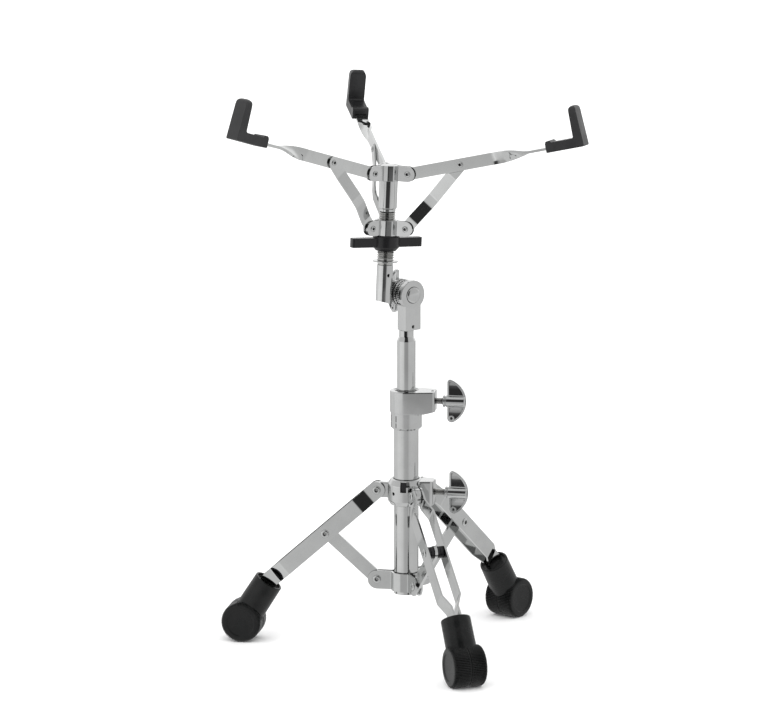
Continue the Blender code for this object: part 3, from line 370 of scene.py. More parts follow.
def rounded(points, radius, closed=True, steps=4):
    """An outline with its corners rounded. A point may bring its own radius as a third value."""
    made = []
    count = len(points)
    for i, point in enumerate(points):
        here = Vector(point[:2])
        size = point[2] if len(point) > 2 else radius
        back = Vector(points[i - 1][:2]) - here
        ahead = Vector(points[(i + 1) % count][:2]) - here
        at_end = not closed and i in (0, count - 1)
        if size == 0 or at_end or back.angle(ahead) > math.radians(178):
            made.append(tuple(here))
            continue
        reach = min(size / math.tan(back.angle(ahead) / 2), back.length * 0.49, ahead.length * 0.49)
        start = here + back.normalized() * reach
        end = here + ahead.normalized() * reach
        for j in range(steps + 1):
            t = j / steps
            made.append(tuple(start * (1 - t) ** 2 + here * 2 * t * (1 - t) + end * t ** 2))
    return made


def strip_outline(start, length, width):
    """A strip with round ends about two centres."""
    half = width / 2
    return arc(start, 0, half, 90, 270, END_STEPS) + arc(length, 0, half, -90, 90, END_STEPS)


def around(station, reach, steps=4):
    """Stations spread evenly about one."""
    return [station + reach * (2 * i / steps - 1) for i in range(steps + 1)]


def ramp(value, start, end):
    return min(max((value - start) / (end - start), 0), 1)


def smoothed(rule, value, reach):
    """The mean of a rule over a stretch about a value, which rounds the rule's corners."""
    samples = [rule(place) for place in around(value, reach, 8)]
    return sum(samples) / len(samples)


# ---------------- meshes


def linked(name, data):
    made = bpy.data.objects.new(name, data)
    bpy.context.scene.collection.objects.link(made)
    return made


def evaluated(item):
    graph = bpy.context.evaluated_depsgraph_get()
    return bpy.data.meshes.new_from_object(item.evaluated_get(graph))


def opened(mesh):
    work = bmesh.new()
    work.from_mesh(mesh)
    return work


def mesh_of(work, outward=False):
    """The mesh of a finished bmesh, with its faces turned outward where asked."""
    if outward:
        bmesh.ops.recalc_face_normals(work, faces=work.faces)
    mesh = bpy.data.meshes.new("shape")
    work.to_mesh(mesh)
    work.free()
    return mesh


def sharp_edges(work, degrees):
    return [item for item in work.edges if item.calc_face_angle(0) > math.radians(degrees)]


def bevel(work, edges, size, segments, clamp=True):
    bmesh.ops.bevel(
        work, geom=edges, offset=size, offset_type="OFFSET", segments=segments, profile=0.5,
        affect="EDGES", clamp_overlap=clamp,
    )


def plate(outlines, thickness, edge=EDGE):
    """A flat plate about Z = 0 with rounded edges. Outlines after the first are holes."""
    curve = bpy.data.curves.new("plate", "CURVE")
    curve.dimensions = "2D"
    curve.fill_mode = "BOTH"
    curve.extrude = thickness / 2
    for points in outlines:
        spline = curve.splines.new("POLY")
        spline.points.add(len(points) - 1)
        for point, place in zip(spline.points, points):
            point.co = (place[0], place[1], 0, 1)
        spline.use_cyclic_u = True
    drawn = linked("plate", curve)
    work = opened(evaluated(drawn))
    bpy.data.objects.remove(drawn)
    bmesh.ops.remove_doubles(work, verts=work.verts, dist=1e-6)
    bmesh.ops.recalc_face_normals(work, faces=work.faces)
    bmesh.ops.dissolve_limit(
        work, angle_limit=math.radians(0.5), verts=work.verts, edges=work.edges,
        use_dissolve_boundaries=False,
    )
    if edge:
        rim = sharp_edges(work, 45)
        bevel(work, [item for item in rim if abs(item.verts[0].co.z - item.verts[1].co.z) < 1e-7], edge, 2)
    return mesh_of(work)


def cut_and_bend(mesh, stations, move, across=()):
    """Cuts a plate across at each station along X, and along at each station of Y, then moves its points."""
    work = opened(mesh)
    for axis, places in (((1, 0, 0), stations), ((0, 1, 0), across)):
        for place in places:
            everything = work.verts[:] + work.edges[:] + work.faces[:]
            point = Vector(axis) * place
            bmesh.ops.bisect_plane(work, geom=everything, plane_co=point, plane_no=axis, dist=1e-6)
    for vertex in work.verts:
        vertex.co = move(vertex.co)
    return mesh_of(work)


def turned(profile, sides=SIDES):
    """A profile of (radius, height) points turned about Z. One that starts off the axis is a ring."""
    work = bmesh.new()
    points = [work.verts.new((radius, 0, height)) for radius, height in profile]
    lines = [work.edges.new(pair) for pair in zip(points, points[1:])]
    if profile[0][0] > 1e-6:
        lines.append(work.edges.new((points[-1], points[0])))
    bmesh.ops.spin(
        work, geom=points + lines, cent=(0, 0, 0), axis=(0, 0, 1), angle=math.tau, steps=sides,
        use_merge=True,
    )
    bmesh.ops.remove_doubles(work, verts=work.verts, dist=1e-7)
    return mesh_of(work, True)


def lathe(points, radius, sides=SIDES, steps=4):
    """A turned shape with the profile's corners rounded."""
    return turned(rounded(points, radius, points[0][0] > 0, steps), sides)


def ring(inner, outer, low, high, corner=0, sides=SIDES):
    """A ring between two radii and two heights, or a cylinder when its inner radius is 0."""
    return lathe([(inner, high), (outer, high), (outer, low), (inner, low)], corner, sides)


def waved(profile, sides, wave):
    """A turned shape whose radius and height change around it. The wave gives them for each angle."""
    work = bmesh.new()
    rings = []
    for radius, height, weight in profile:
        if radius < 1e-6:
            rings.append([work.verts.new((0, 0, height))] * sides)
            continue
        rings.append([])
        for i in range(sides):
            out, up = wave(i, weight)
            angle = math.tau * i / sides
            reach = radius + out
            rings[-1].append(work.verts.new((reach * math.cos(angle), reach * math.sin(angle), height + up)))
    pairs = list(zip(rings, rings[1:]))
    if profile[0][0] > 1e-6:
        pairs.append((rings[-1], rings[0]))
    for near, far in pairs:
        for i in range(sides):
            j = (i + 1) % sides
            work.faces.new(list(dict.fromkeys([near[i], near[j], far[j], far[i]])))
    return mesh_of(work, True)


def block(low, high, edge=CAST_EDGE):
    """A rounded block between two corners."""
    work = bmesh.new()
    low = Vector(low)
    high = Vector(high)
    size = Matrix.Diagonal((*(high - low), 1))
    bmesh.ops.create_cube(work, size=1, matrix=Matrix.Translation((low + high) / 2) @ size)
    if edge:
        bevel(work, work.edges[:], edge, 3, False)
    return mesh_of(work)


def merged(*placed):
    """Several shapes in one mesh, each with its own frame."""
    work = bmesh.new()
    for mesh, place in placed:
        copy = mesh.copy()
        copy.transform(place)
        work.from_mesh(copy)
        bpy.data.meshes.remove(copy)
    return mesh_of(work)


def moved(mesh, *places):
    """A mesh moved by each frame in turn."""
    for place in places:
        mesh.transform(place)
    return mesh


def carved(mesh, join=(), cut=(), keep=()):
    """A mesh joined with some others, then cut by some, then kept only inside some."""
    base = linked("base", mesh)
    helpers = []
    for operation, others in (("UNION", join), ("DIFFERENCE", cut), ("INTERSECT", keep)):
        for other in others:
            helpers.append(linked("helper", other))
            boolean = base.modifiers.new("carve", "BOOLEAN")
            boolean.operation = operation
            boolean.solver = "EXACT"
            boolean.object = helpers[-1]
    result = evaluated(base)
    for helper in helpers + [base]:
        bpy.data.objects.remove(helper)
    return result


def piece(name, mesh, place, material, body, *replaced, slot=None):
    """One visible piece in its place, riding on its body. Its slot, its material's or the one given, is
    worked out but not kept, so the slot argument is not used.
    """
    made = linked(name, mesh)
    made.matrix_world = place
    mesh.materials.clear()
    mesh.materials.append(MATERIALS[material])
    mesh.shade_smooth()
    mesh.set_sharp_from_angle(angle=math.radians(SHARP_ANGLE))
    normals = made.modifiers.new("flat faces stay flat", "WEIGHTED_NORMAL")
    normals.keep_sharp = True
    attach(made, body)
    if replaced:
        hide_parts(*replaced)
    slot or ("chrome" if material in CHROME_SLOT else material)


# ---------------- materials


def shader_node(tree, kind, links=(), **values):
    """A shader node with some inputs linked, by pairs of an output and a name, and some set."""
    made = tree.nodes.new("ShaderNode" + kind)
    for output, name in links:
        tree.links.new(output, made.inputs[name])
    for name, value in values.items():
        made.inputs[name].default_value = value
    return made


def shader_tree(name):
    MATERIALS[name] = bpy.data.materials.new(name)
    MATERIALS[name].use_nodes = True
    tree = MATERIALS[name].node_tree
    return tree, tree.nodes["Principled BSDF"]


def noise(tree, scale, detail, roughness=0.55, stretch=(1, 1, 1)):
    """Noise in the piece's own space, with its grain drawn out where the stretch is small."""
    coords = shader_node(tree, "TexCoord").outputs["Object"]
    mapping = shader_node(tree, "Mapping", [(coords, "Vector")], Scale=stretch).outputs["Vector"]
    texture = shader_node(
        tree, "TexNoise", [(mapping, "Vector")], Scale=scale, Detail=detail, Roughness=roughness,
    )
    return texture.outputs["Fac"]


def graded(tree, factor, stops):
    """A colour ramp over a factor. Each stop is a place and a grey or a colour."""
    node = shader_node(tree, "ValToRGB", [(factor, "Fac")])
    ramp_points = node.color_ramp.elements
    while len(ramp_points) < len(stops):
        ramp_points.new(0.5)
    for element, (place, colour) in zip(ramp_points, stops):
        element.position = place
        element.color = (*colour, 1) if isinstance(colour, tuple) else (colour, colour, colour, 1)
    return node.outputs["Color"]


def mixed(tree, factor, first, second, mode="MIX"):
    """A mix of two colours by a factor, a number or an output."""
    mix = shader_node(tree, "Mix")
    mix.data_type = "RGBA"
    mix.blend_type = mode
    if isinstance(factor, float):
        mix.inputs["Factor"].default_value = factor
    else:
        tree.links.new(factor, mix.inputs["Factor"])
    tree.links.new(first, mix.inputs["A"])
    tree.links.new(second, mix.inputs["B"])
    return mix.outputs["Result"]


def bumped(tree, shader, height, distance, before=None):
    links = [(height, "Height")] + ([(before, "Normal")] if before else [])
    node = shader_node(tree, "Bump", links, Distance=distance, Strength=1.0)
    tree.links.new(node.outputs["Normal"], shader.inputs["Normal"])
    return node.outputs["Normal"]


def painted_gap_shade(tree, colour):
    """Painted shade: darkens a colour in gaps and inner corners, standing in for the darker reflections
    there, where plating reflects only more plating.
    """
    hidden = shader_node(tree, "AmbientOcclusion", Distance=PAINTED_SHADE_REACH)
    hidden.samples = 8
    return mixed(tree, 1.0, colour, graded(tree, hidden.outputs["AO"], PAINTED_GAP_SHADE), "MULTIPLY")


def chrome(name, colour, roughness, grain, grain_scale, wave, wave_scale):
    """Polished plating: smudges change its gloss, drawn-out grain and slow waves its surface."""
    tree, shader = shader_tree(name)
    shader.inputs["Metallic"].default_value = 1.0
    smudge = noise(tree, 38.0, 6.0, 0.62)
    dark = tuple(value * 0.93 for value in colour)
    plating = graded(tree, smudge, [(0.38, dark), (0.62, colour)])
    # Base colour: the smudged plating tone, multiplied by painted shade in gaps and inner corners
    tree.links.new(painted_gap_shade(tree, plating), shader.inputs["Base Color"])
    low, high = roughness
    tree.links.new(graded(tree, smudge, [(0.40, high), (0.66, low)]), shader.inputs["Roughness"])
    normal = bumped(tree, shader, noise(tree, wave_scale, 1.0), wave)
    bumped(tree, shader, noise(tree, grain_scale, 3.0, stretch=(0.06, 1, 1)), grain, normal)


def rubber(name, colour, worn, roughness, grain_scale, grain, specular):
    """Moulded rubber or plastic: a fine grain, dusty patches and lighter worn spots."""
    tree, shader = shader_tree(name)
    shader.inputs["Specular IOR Level"].default_value = specular
    patches = noise(tree, 60.0, 8.0, 0.68)
    tree.links.new(graded(tree, patches, [(0.40, colour), (0.72, worn)]), shader.inputs["Base Color"])
    low, high = roughness
    tree.links.new(graded(tree, patches, [(0.35, low), (0.70, high)]), shader.inputs["Roughness"])
    bumped(tree, shader, noise(tree, grain_scale, 3.0, 0.6), grain)


def make_materials():
    chrome("chrome_tube", (0.560, 0.565, 0.562), (0.035, 0.075), 0.0000025, 900.0, 0.00002, 14.0)
    chrome("chrome_strip", (0.545, 0.552, 0.548), (0.045, 0.100), 0.0000030, 1100.0, 0.00005, 26.0)
    chrome("chrome_cast", (0.545, 0.550, 0.548), (0.055, 0.120), 0.0000020, 700.0, 0.00009, 55.0)
    chrome("plated_gear", (0.400, 0.402, 0.400), (0.200, 0.320), 0.0000120, 1500.0, 0.00003, 80.0)
    chrome("plated_screw", (0.470, 0.470, 0.460), (0.120, 0.220), 0.0000100, 1300.0, 0.00002, 90.0)
    foot = ((0.0035, 0.004, 0.004), (0.009, 0.009, 0.009))
    boot = ((0.009, 0.009, 0.010), (0.018, 0.018, 0.019))
    plastic = ((0.004, 0.004, 0.005), (0.007, 0.007, 0.008))
    rubber("foot_rubber", *foot, (0.20, 0.36), 1700.0, 0.00003, 0.25)
    rubber("boot_rubber", *boot, (0.36, 0.52), 2100.0, 0.00004, 0.52)
    rubber("black_plastic", *plastic, (0.24, 0.38), 1500.0, 0.00002, 0.38)


# ---------------- rivets and set screws


def rivet(name, node, place, body, high, sizes=LEG_RIVET, low=None):
    """A tubular rivet: domed heads with a hollow in the middle, and a shank between them."""
    low = -high if low is None else low
    shank, head_radius, head = sizes
    dome = [(out * head_radius, up) for out, up in ((0, -0.0011), (0.34, -0.0011), (0.38, -0.0006))]
    dome += [(out * head_radius, up * head) for out, up in RIVET_DOME]
    top = [(out, high + up) for out, up in dome] + [(head_radius, high), (shank, high)]
    bottom = [(shank, low), (head_radius, low)] + [(out, low - up) for out, up in reversed(dome)]
    piece(name, turned(top + bottom, PIN_SIDES), place, "chrome_strip", body, node)


def set_screw(name, place, body):
    """A black socket screw at the bottom of its hole. The place's Z points out of the surface."""
    radius = SET_SCREW_RADIUS
    profile = [
        (0, -0.0024), (radius * 0.55, -0.0024), (radius * 0.62, -0.0014), (radius, -0.0014),
        (radius, -0.0040), (0, -0.0040),
    ]
    piece(name, turned(profile, 24), place, "black_plastic", body)


def set_screw_hole(place):
    """The hole to cut for a set screw, with a small countersink."""
    radius = SET_SCREW_RADIUS
    profile = [
        (0, 0.003), (radius + 0.0005, 0.003), (radius + 0.0004, -0.0001), (radius, -0.0006),
        (radius, -0.0036), (0, -0.0036),
    ]
    return merged((turned(profile, 32), place))


# ---------------- tripod


def leg_outline():
    """A leg strip, straight from its round top to the knee, and steeper from there on."""
    half = LEG_WIDTH / 2
    turn = SLEEVE_SLOPE - LEG_SLOPE
    out = FOOT_OUT - PIVOT_RADIUS
    down = TOP_PIVOT_Z - FOOT_RADIUS
    knee = (out * math.sin(SLEEVE_SLOPE) - down * math.cos(SLEEVE_SLOPE)) / math.sin(turn)
    mitre = half * math.tan(turn / 2)
    across = Vector((math.sin(turn), math.cos(turn)))
    end = Vector((knee, 0)) + Vector((math.cos(turn), -math.sin(turn))) * LEG_IN_SLEEVE
    points = arc(0, 0, half, 90, 270, END_STEPS)
    lower = [points[-1], (knee - mitre, -half, KNEE_CORNER), tuple(end - across * half)]
    upper = [tuple(end + across * half), (knee + mitre, half, KNEE_CORNER), points[0]]
    return points + rounded(lower, 0, False)[1:] + rounded(upper, 0, False)[:-1]


def leg_inner_face(along):
    """How far a leg strip's inner face is from the leg's mid-plane."""
    start, wide, narrow, end = LEG_STATIONS
    out = LEG_INNER_TOP + (LEG_INNER_MIDDLE - LEG_INNER_TOP) * ramp(along, start, wide)
    return out + (LEG_INNER_FOOT - LEG_INNER_MIDDLE) * ramp(along, narrow, end)


def make_leg_strips(side, place, body):
    outlines = [leg_outline()] + holes(PIN_RADIUS, 0, LEG_TO_LINK)
    stations = [spot for station in LEG_STATIONS for spot in around(station, LEG_BEND)]
    for letter, hand in (("a", 1), ("b", -1)):

        def move(point, hand=hand):
            out = hand * (smoothed(leg_inner_face, point.x, LEG_BEND) + LEG_THICKNESS / 2)
            return Vector((point.x, point.y, point.z + out))

        mesh = cut_and_bend(plate(outlines, LEG_THICKNESS), stations, move)
        name = side + "_" + letter
        piece("leg_bar_" + name, mesh, place, "chrome_strip", body, "leg_strip_" + name)


def foot_profile():
    """Half section of the barrel, end to end, with how much of the ribs each point carries."""
    half = FOOT_WIDTH / 2
    side = [
        (0, half - 0.0008, 0), (0.0136, half - 0.0008, 0), (0.0144, half - 0.0005, 0),
        (0.0149, half, 0), (0.0158, half, 0),
    ]
    corner = arc(FOOT_RADIUS - FOOT_RIM, half - FOOT_RIM, FOOT_RIM, 84, 6, 7)
    side += [(radius, height, ramp(i, 1, 3)) for i, (radius, height) in enumerate(corner)]
    side += [
        (FOOT_RADIUS, half - FOOT_RIM - 0.0003, 1), (FOOT_RADIUS, FOOT_SEAM + 0.0010, 1),
        (FOOT_RADIUS, FOOT_SEAM + 0.0003, 0), (FOOT_RADIUS - 0.0001, FOOT_SEAM, 0),
        (FOOT_RADIUS - FOOT_SEAM_DEPTH, FOOT_SEAM * 0.5, 0),
    ]
    return side + [(radius, -height, weight) for radius, height, weight in reversed(side)]


def make_foot(side, azimuth, body):
    """A ribbed rubber barrel across the leg, with a hollow sleeve that takes the leg's end."""

    def ribs(step, weight):
        groove = (1 + math.cos(math.tau * step / RIB_STEPS)) / 2
        return -RIB_DEPTH * weight * groove ** 2, 0

    barrel = waved(foot_profile(), FOOT_RIBS * RIB_STEPS, ribs)
    inner = SLEEVE_RADIUS - SLEEVE_WALL
    seat = SLEEVE_TOP - SLEEVE_RECESS
    sleeve = lathe([
        (0, 0.004, 0), (SLEEVE_RADIUS + 0.0006, 0.004, 0), (SLEEVE_RADIUS, SLEEVE_TOP, 0.0009),
        (inner, SLEEVE_TOP, 0.0007), (inner - 0.0004, seat, 0.001), (0, seat, 0),
    ], 0.0005, 72)
    lean = Matrix.Rotation(SLEEVE_SLOPE - math.radians(90), 4, "Y")
    mesh = merged((barrel, TURN_TO_Y), (sleeve, lean))
    place = radial(COLUMN, azimuth, FOOT_OUT, FOOT_RADIUS)
    piece("rubber_foot_" + side, mesh, place, "foot_rubber", body, "foot_" + side)


def make_leg(side, azimuth):
    leg = "leg_" + side
    brace = "brace_" + side
    top = radial(COLUMN, azimuth, PIVOT_RADIUS, TOP_PIVOT_Z)
    middle = radial(COLUMN, azimuth, LINK_RADIUS, LINK_Z) @ TURN_TO_Y
    low = radial(COLUMN, azimuth, PIVOT_RADIUS, LOW_PIVOT_Z)
    make_leg_strips(side, strip_place(top, LEG_SLOPE), leg)
    make_foot(side, azimuth, leg)

    outlines = [strip_outline(0, LEG_TO_LINK, BRACE_WIDTH)] + holes(PIN_RADIUS, 0, LEG_TO_LINK)
    link = plate(outlines, BRACE_THICKNESS, EDGE * 1.5)
    piece("brace_link_" + side, link, strip_place(low, -LEG_SLOPE), "chrome_strip", brace, brace)

    reach = LEG_INNER_TOP + LEG_THICKNESS
    rivet("leg_rivet_" + side, "leg_pin_" + side, top @ TURN_TO_Y, leg, reach)
    reach = LEG_INNER_MIDDLE + LEG_THICKNESS
    rivet("brace_rivet_" + side, "brace_pin_" + side, middle, leg, reach)
    near = BRACE_THICKNESS / 2 + CLEAR
    far = LEG_INNER_MIDDLE - CLEAR
    waist = (near + far) / 2
    spacer = lathe([
        (SPACER_RADIUS, far), (SPACER_RADIUS, waist + 0.0006, 0.0001),
        (SPACER_RADIUS - 0.0005, waist, 0.0001), (SPACER_RADIUS, waist - 0.0006, 0.0001),
        (SPACER_RADIUS, near), (PIN_RADIUS, near, 0), (PIN_RADIUS, far, 0),
    ], 0.0005, 48)
    for letter, turn in (("a", 0), ("b", math.pi)):
        place = middle @ Matrix.Rotation(turn, 4, "X")
        piece("brace_spacer_" + side + "_" + letter, spacer.copy(), place, "black_plastic", leg)


def make_tripod_collar():
    """The cast collar that slides on the tube, with an ear for each leg and a lug for its wing screw."""
    low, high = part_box("tripod_collar")
    bottom = low[2]
    top = high[2]
    mouth = TUBE_RADIUS + CLEAR
    collar = lathe([
        (mouth, top - 0.0010, 0.0003), (mouth + 0.0012, top, 0.0004),
        (COLLAR_RADIUS - 0.0030, top - 0.0003, 0.0022), (COLLAR_RADIUS, top - 0.0056, 0.0048),
        (COLLAR_RADIUS, bottom + 0.0048, 0.0040), (COLLAR_RADIUS - 0.0028, bottom + 0.0002, 0.0020),
        (mouth + 0.0008, bottom, 0.0004), (mouth, bottom + 0.0010, 0.0003),
    ], 0.001, steps=7)
    half = LEG_WIDTH / 2 - 0.0005
    inner = TUBE_RADIUS + 0.002
    ear_outline = [(inner, half), (inner, -half)] + arc(PIVOT_RADIUS, 0, half, -90, 90, END_STEPS)
    ear = plate([ear_outline], EAR_THICKNESS, CAST_EDGE)
    end = LUG_END - 0.0005
    half = LUG_HALF_WIDTH - 0.001
    inner = COLLAR_RADIUS - 0.005
    lug_side = [(inner, half + 0.003, 0.003), (end, half, 0.0055)]
    lug_outline = lug_side + [(x, -y, size) for x, y, size in reversed(lug_side)]
    lug = plate([rounded(lug_outline, 0, steps=7)], top - bottom - 0.0014, 0.0020)
    join = [merged((lug, radial(HERE, COLLAR_SCREW_AZIMUTH, 0, (top + bottom) / 2)))]
    for azimuth in LEG_AZIMUTHS.values():
        join.append(merged((ear, strip_place(radial(HERE, azimuth, 0, TOP_PIVOT_Z), 0))))
    bore = ring(0, mouth, bottom - 0.004, top + 0.004)
    key_place = radial(HERE, KEY_AZIMUTH)
    key_cut = block(
        (COLLAR_RADIUS - 0.0034, -KEY_HALF_WIDTH, top - KEY_LENGTH),
        (COLLAR_RADIUS + 0.004, KEY_HALF_WIDTH, top + 0.002), 0.0005,
    )
    screw_place = radial(HERE, COLLAR_SET_AZIMUTH, COLLAR_RADIUS, COLLAR_SET_Z) @ TURN_TO_X
    collar = carved(collar, join, [bore, merged((key_cut, key_place)), set_screw_hole(screw_place)])
    piece("sliding_collar", collar, COLUMN, "chrome_cast", "tripod_collar", "tripod_collar")
    key = block(
        (TUBE_RADIUS + 0.0006, CLEAR - KEY_HALF_WIDTH, top + CLEAR - KEY_LENGTH),
        (COLLAR_RADIUS - 0.0022, KEY_HALF_WIDTH - CLEAR, top - 0.0020), 0.0006,
    )
    piece("collar_key", key, COLUMN @ key_place, "black_plastic", "tripod_collar")
    set_screw("collar_set_screw", COLUMN @ screw_place, "tripod_collar")


def bent_plate(azimuth_from, azimuth_to, ring_radius, pivot_radius, offset, wall, half_height):
    """A stamped plate wrapped around an axis: an ear, a stretch around the ring in flats, and an ear."""
    turn = (azimuth_to - azimuth_from) % 360
    half_turn = math.radians(turn / 2)
    bend = half_turn - math.asin(offset / ring_radius)
    flat_radius = ring_radius / math.cos(bend / 3)
    out = Vector((math.cos(half_turn), math.sin(half_turn)))
    side = Vector((math.sin(half_turn), -math.cos(half_turn)))
    half_path = [tuple(out * (pivot_radius + half_height) + side * offset)]
    half_path.append((ring_radius * math.cos(bend), ring_radius * math.sin(bend)))
    half_path.append((flat_radius * math.cos(bend / 3), flat_radius * math.sin(bend / 3)))
    path = rounded(half_path + mirrored(half_path), wall * 1.1, False, 6)
    path = [Vector(point) for point in path]
    lengths = [0.0]
    for near, far in zip(path, path[1:]):
        lengths.append(lengths[-1] + (far - near).length)
    total = lengths[-1]
    ends = (half_height, total - half_height)
    outline = strip_outline(*ends, half_height * 2)
    flat = plate([outline] + holes(half_height * 0.27, *ends), wall, min(EDGE, wall * 0.22))

    def move(point):
        along = min(max(point.x, 1e-7), total - 1e-7)
        step = max(i for i in range(len(lengths) - 1) if lengths[i] <= along)
        near, far = path[step:step + 2]
        share = (along - lengths[step]) / max(lengths[step + 1] - lengths[step], 1e-9)
        here = near.lerp(far, share)
        level = (far - near).normalized()
        before = (near - path[step - 1]).normalized() if step else level
        after = (path[step + 2] - far).normalized() if step + 2 < len(path) else level
        tangent = (before + level).lerp(level + after, share).normalized()
        return Vector((here.x - tangent.y * point.z, here.y + tangent.x * point.z, point.y))

    mesh = cut_and_bend(flat, lengths[1:-1], move)
    return moved(mesh, Matrix.Rotation(math.radians(azimuth_from + turn / 2), 4, "Z"))


def forked(core, azimuths, pivot_radius, height, ring_radius, inner, wall, half_height):
    """A core with three bent plates around it, whose ears stand in pairs at three pivots."""
    azimuths = sorted(azimuth % 360 for azimuth in azimuths.values())
    placed = [(core, HERE)]
    for i, azimuth in enumerate(azimuths):
        mesh = bent_plate(
            azimuth, azimuths[(i + 1) % 3], ring_radius - wall / 2, pivot_radius, inner + wall / 2, wall,
            half_height,
        )
        placed.append((mesh, shift(0, 0, height)))
    return merged(*placed)


def make_low_collar():
    """The collar at the tube's foot: a core ring and three bent plates whose ears fork each brace."""
    low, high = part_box("lower_collar")
    core = ring(TUBE_RADIUS + CLEAR, LOW_COLLAR_RADIUS - 0.0022, LOW_CORE_Z, high[2] - 0.0015, 0.0004)
    mesh = forked(
        core, LEG_AZIMUTHS, PIVOT_RADIUS, LOW_PIVOT_Z - LOW_EAR_DROP, LOW_COLLAR_RADIUS, LOW_EAR_INNER,
        LOW_EAR_WALL, LOW_EAR_HALF_HEIGHT,
    )
    piece("forked_collar", mesh, COLUMN, "chrome_strip", "column", "lower_collar")
    for side, azimuth in LEG_AZIMUTHS.items():
        place = radial(COLUMN, azimuth, PIVOT_RADIUS, LOW_PIVOT_Z) @ TURN_TO_Y
        node = "brace_foot_pin_" + side
        rivet("foot_rivet_" + side, node, place, "column", LOW_EAR_INNER + LOW_EAR_WALL)


# ---------------- column and clamp


def make_column():
    low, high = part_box("lower_tube")
    inner = TUBE_RADIUS - TUBE_WALL
    tube = ring(inner, TUBE_RADIUS, low[2], high[2], 0.0004, 128)
    piece("outer_tube", tube, COLUMN, "chrome_tube", "column", "lower_tube")
    low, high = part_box("clamp_bush")
    bush = ring(POST_RADIUS + CLEAR, inner - CLEAR, low[2], high[2] + 0.0046, 0.0003, 64)
    piece("nylon_bush", bush, COLUMN, "black_plastic", "column", "clamp_bush", slot="bush_nylon")
    low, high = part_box("upper_tube")
    inner = POST_RADIUS - TUBE_WALL
    post = lathe([
        (0, high[2], 0), (NECK_RADIUS, high[2]), (NECK_RADIUS, NECK_BOTTOM, 0.0016),
        (POST_RADIUS, POST_SHOULDER, 0.0020), (POST_RADIUS, low[2]), (inner, low[2]),
        (inner, POST_SHOULDER - 0.004), (0, POST_SHOULDER - 0.004, 0),
    ], 0.0004, 128)
    half = NECK_SLOT_HALF_WIDTH
    slot_cut = block((0.0052, -half, NECK_SLOT_LOW), (0.0120, half, NECK_SLOT_HIGH), 0.0003)
    post = carved(post, cut=[merged((slot_cut, radial(HERE, NECK_SLOT_AZIMUTH)))])
    piece("inner_tube", post, COLUMN, "chrome_tube", "upper_post", "upper_tube")
    half += 0.0002
    pin = block((0.0040, -half, NECK_SLOT_LOW - 0.0002), (0.0054, half, NECK_SLOT_HIGH - 0.0020), 0.0002)
    piece("neck_pin", pin, radial(COLUMN, NECK_SLOT_AZIMUTH), "black_plastic", "upper_post")


def clamp_outline():
    """The height clamp from above: a round body drawn out to a lug."""
    body = arc(0, 0, CLAMP_RADIUS, LUG_TANGENT, 360 - LUG_TANGENT, 72)
    end = [(LUG_END, -LUG_HALF_WIDTH, 0.0032), (LUG_END, LUG_HALF_WIDTH, 0.0032)]
    return body + rounded([body[-1]] + end + [body[0]], 0, False, 7)[1:-1]


def make_clamp():
    """The casting on top of the lower tube that clamps the upper tube."""
    low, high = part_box("height_clamp")
    bottom = low[2]
    top = high[2]
    body = plate([clamp_outline()], top - CLAMP_STEP, 0.0013)
    moved(body, radial(HERE, CLAMP_AZIMUTH, 0, (CLAMP_STEP + top) / 2))
    sleeve = lathe([
        (0, CLAMP_STEP + 0.004, 0), (CLAMP_SLEEVE_RADIUS, CLAMP_STEP + 0.004, 0),
        (CLAMP_SLEEVE_RADIUS, bottom + 0.0020, 0.0012), (CLAMP_SLEEVE_RADIUS - 0.0022, bottom, 0.0006),
        (0, bottom, 0),
    ], 0.0006)
    wide = TUBE_RADIUS + CLEAR
    mouth = POST_RADIUS + 0.0021
    bore = turned([
        (0, top + 0.003), (mouth + 0.0012, top + 0.003), (mouth + 0.0010, top - 0.0004),
        (mouth, top - 0.0014), (wide, top - 0.0050), (wide, bottom - 0.002), (0, bottom - 0.002),
    ])
    turn = radial(HERE, CLAMP_AZIMUTH)
    undercut = block((UNDERCUT_X, -0.02, CLAMP_STEP - 0.006), (0.045, 0.02, CLAMP_STEP + 0.0002), 0)
    lean = shift(UNDERCUT_X, 0, CLAMP_STEP) @ Matrix.Rotation(math.radians(-CAST_LEAN), 4, "Y")
    moved(undercut, lean @ shift(-UNDERCUT_X, 0, -CLAMP_STEP), turn)
    notch = block((0.0262, -0.0046, top - 0.0016), (0.0286, -0.0006, top + 0.003), 0.0002)
    cut = [bore, undercut, moved(notch, turn)]
    near = CLAMP_SLEEVE_RADIUS - 0.0014
    far = CLAMP_SLEEVE_RADIUS + 0.002
    for azimuth in SLIT_AZIMUTHS:
        for start, end in SLITS:
            slit = block((near, -0.0005, start), (far, 0.0005, end), 0)
            cut.append(moved(slit, radial(HERE, azimuth)))
    body = carved(body, [sleeve], cut)
    piece("clamp_casting", body, COLUMN, "chrome_cast", "column", "height_clamp")


# ---------------- wing screws


def wing_half(start, tip, shrink, foot):
    """Half of a wing's outline: up its round outer edge from the foot, about the tip, and down again."""
    radius = WING_REACH + WING_BULGE - shrink
    across = tip + WING_BULGE
    rise = math.sqrt((WING_REACH + WING_BULGE - tip) ** 2 - across ** 2)
    meeting = math.degrees(math.atan2(rise, across))
    first = math.degrees(math.asin(foot / radius))
    outer = arc(start - WING_BULGE, 0, radius, first, meeting, 30)
    return outer + arc(start + tip, rise, tip - shrink, meeting, 180, 12)[1:] + [(start + shrink, foot)]


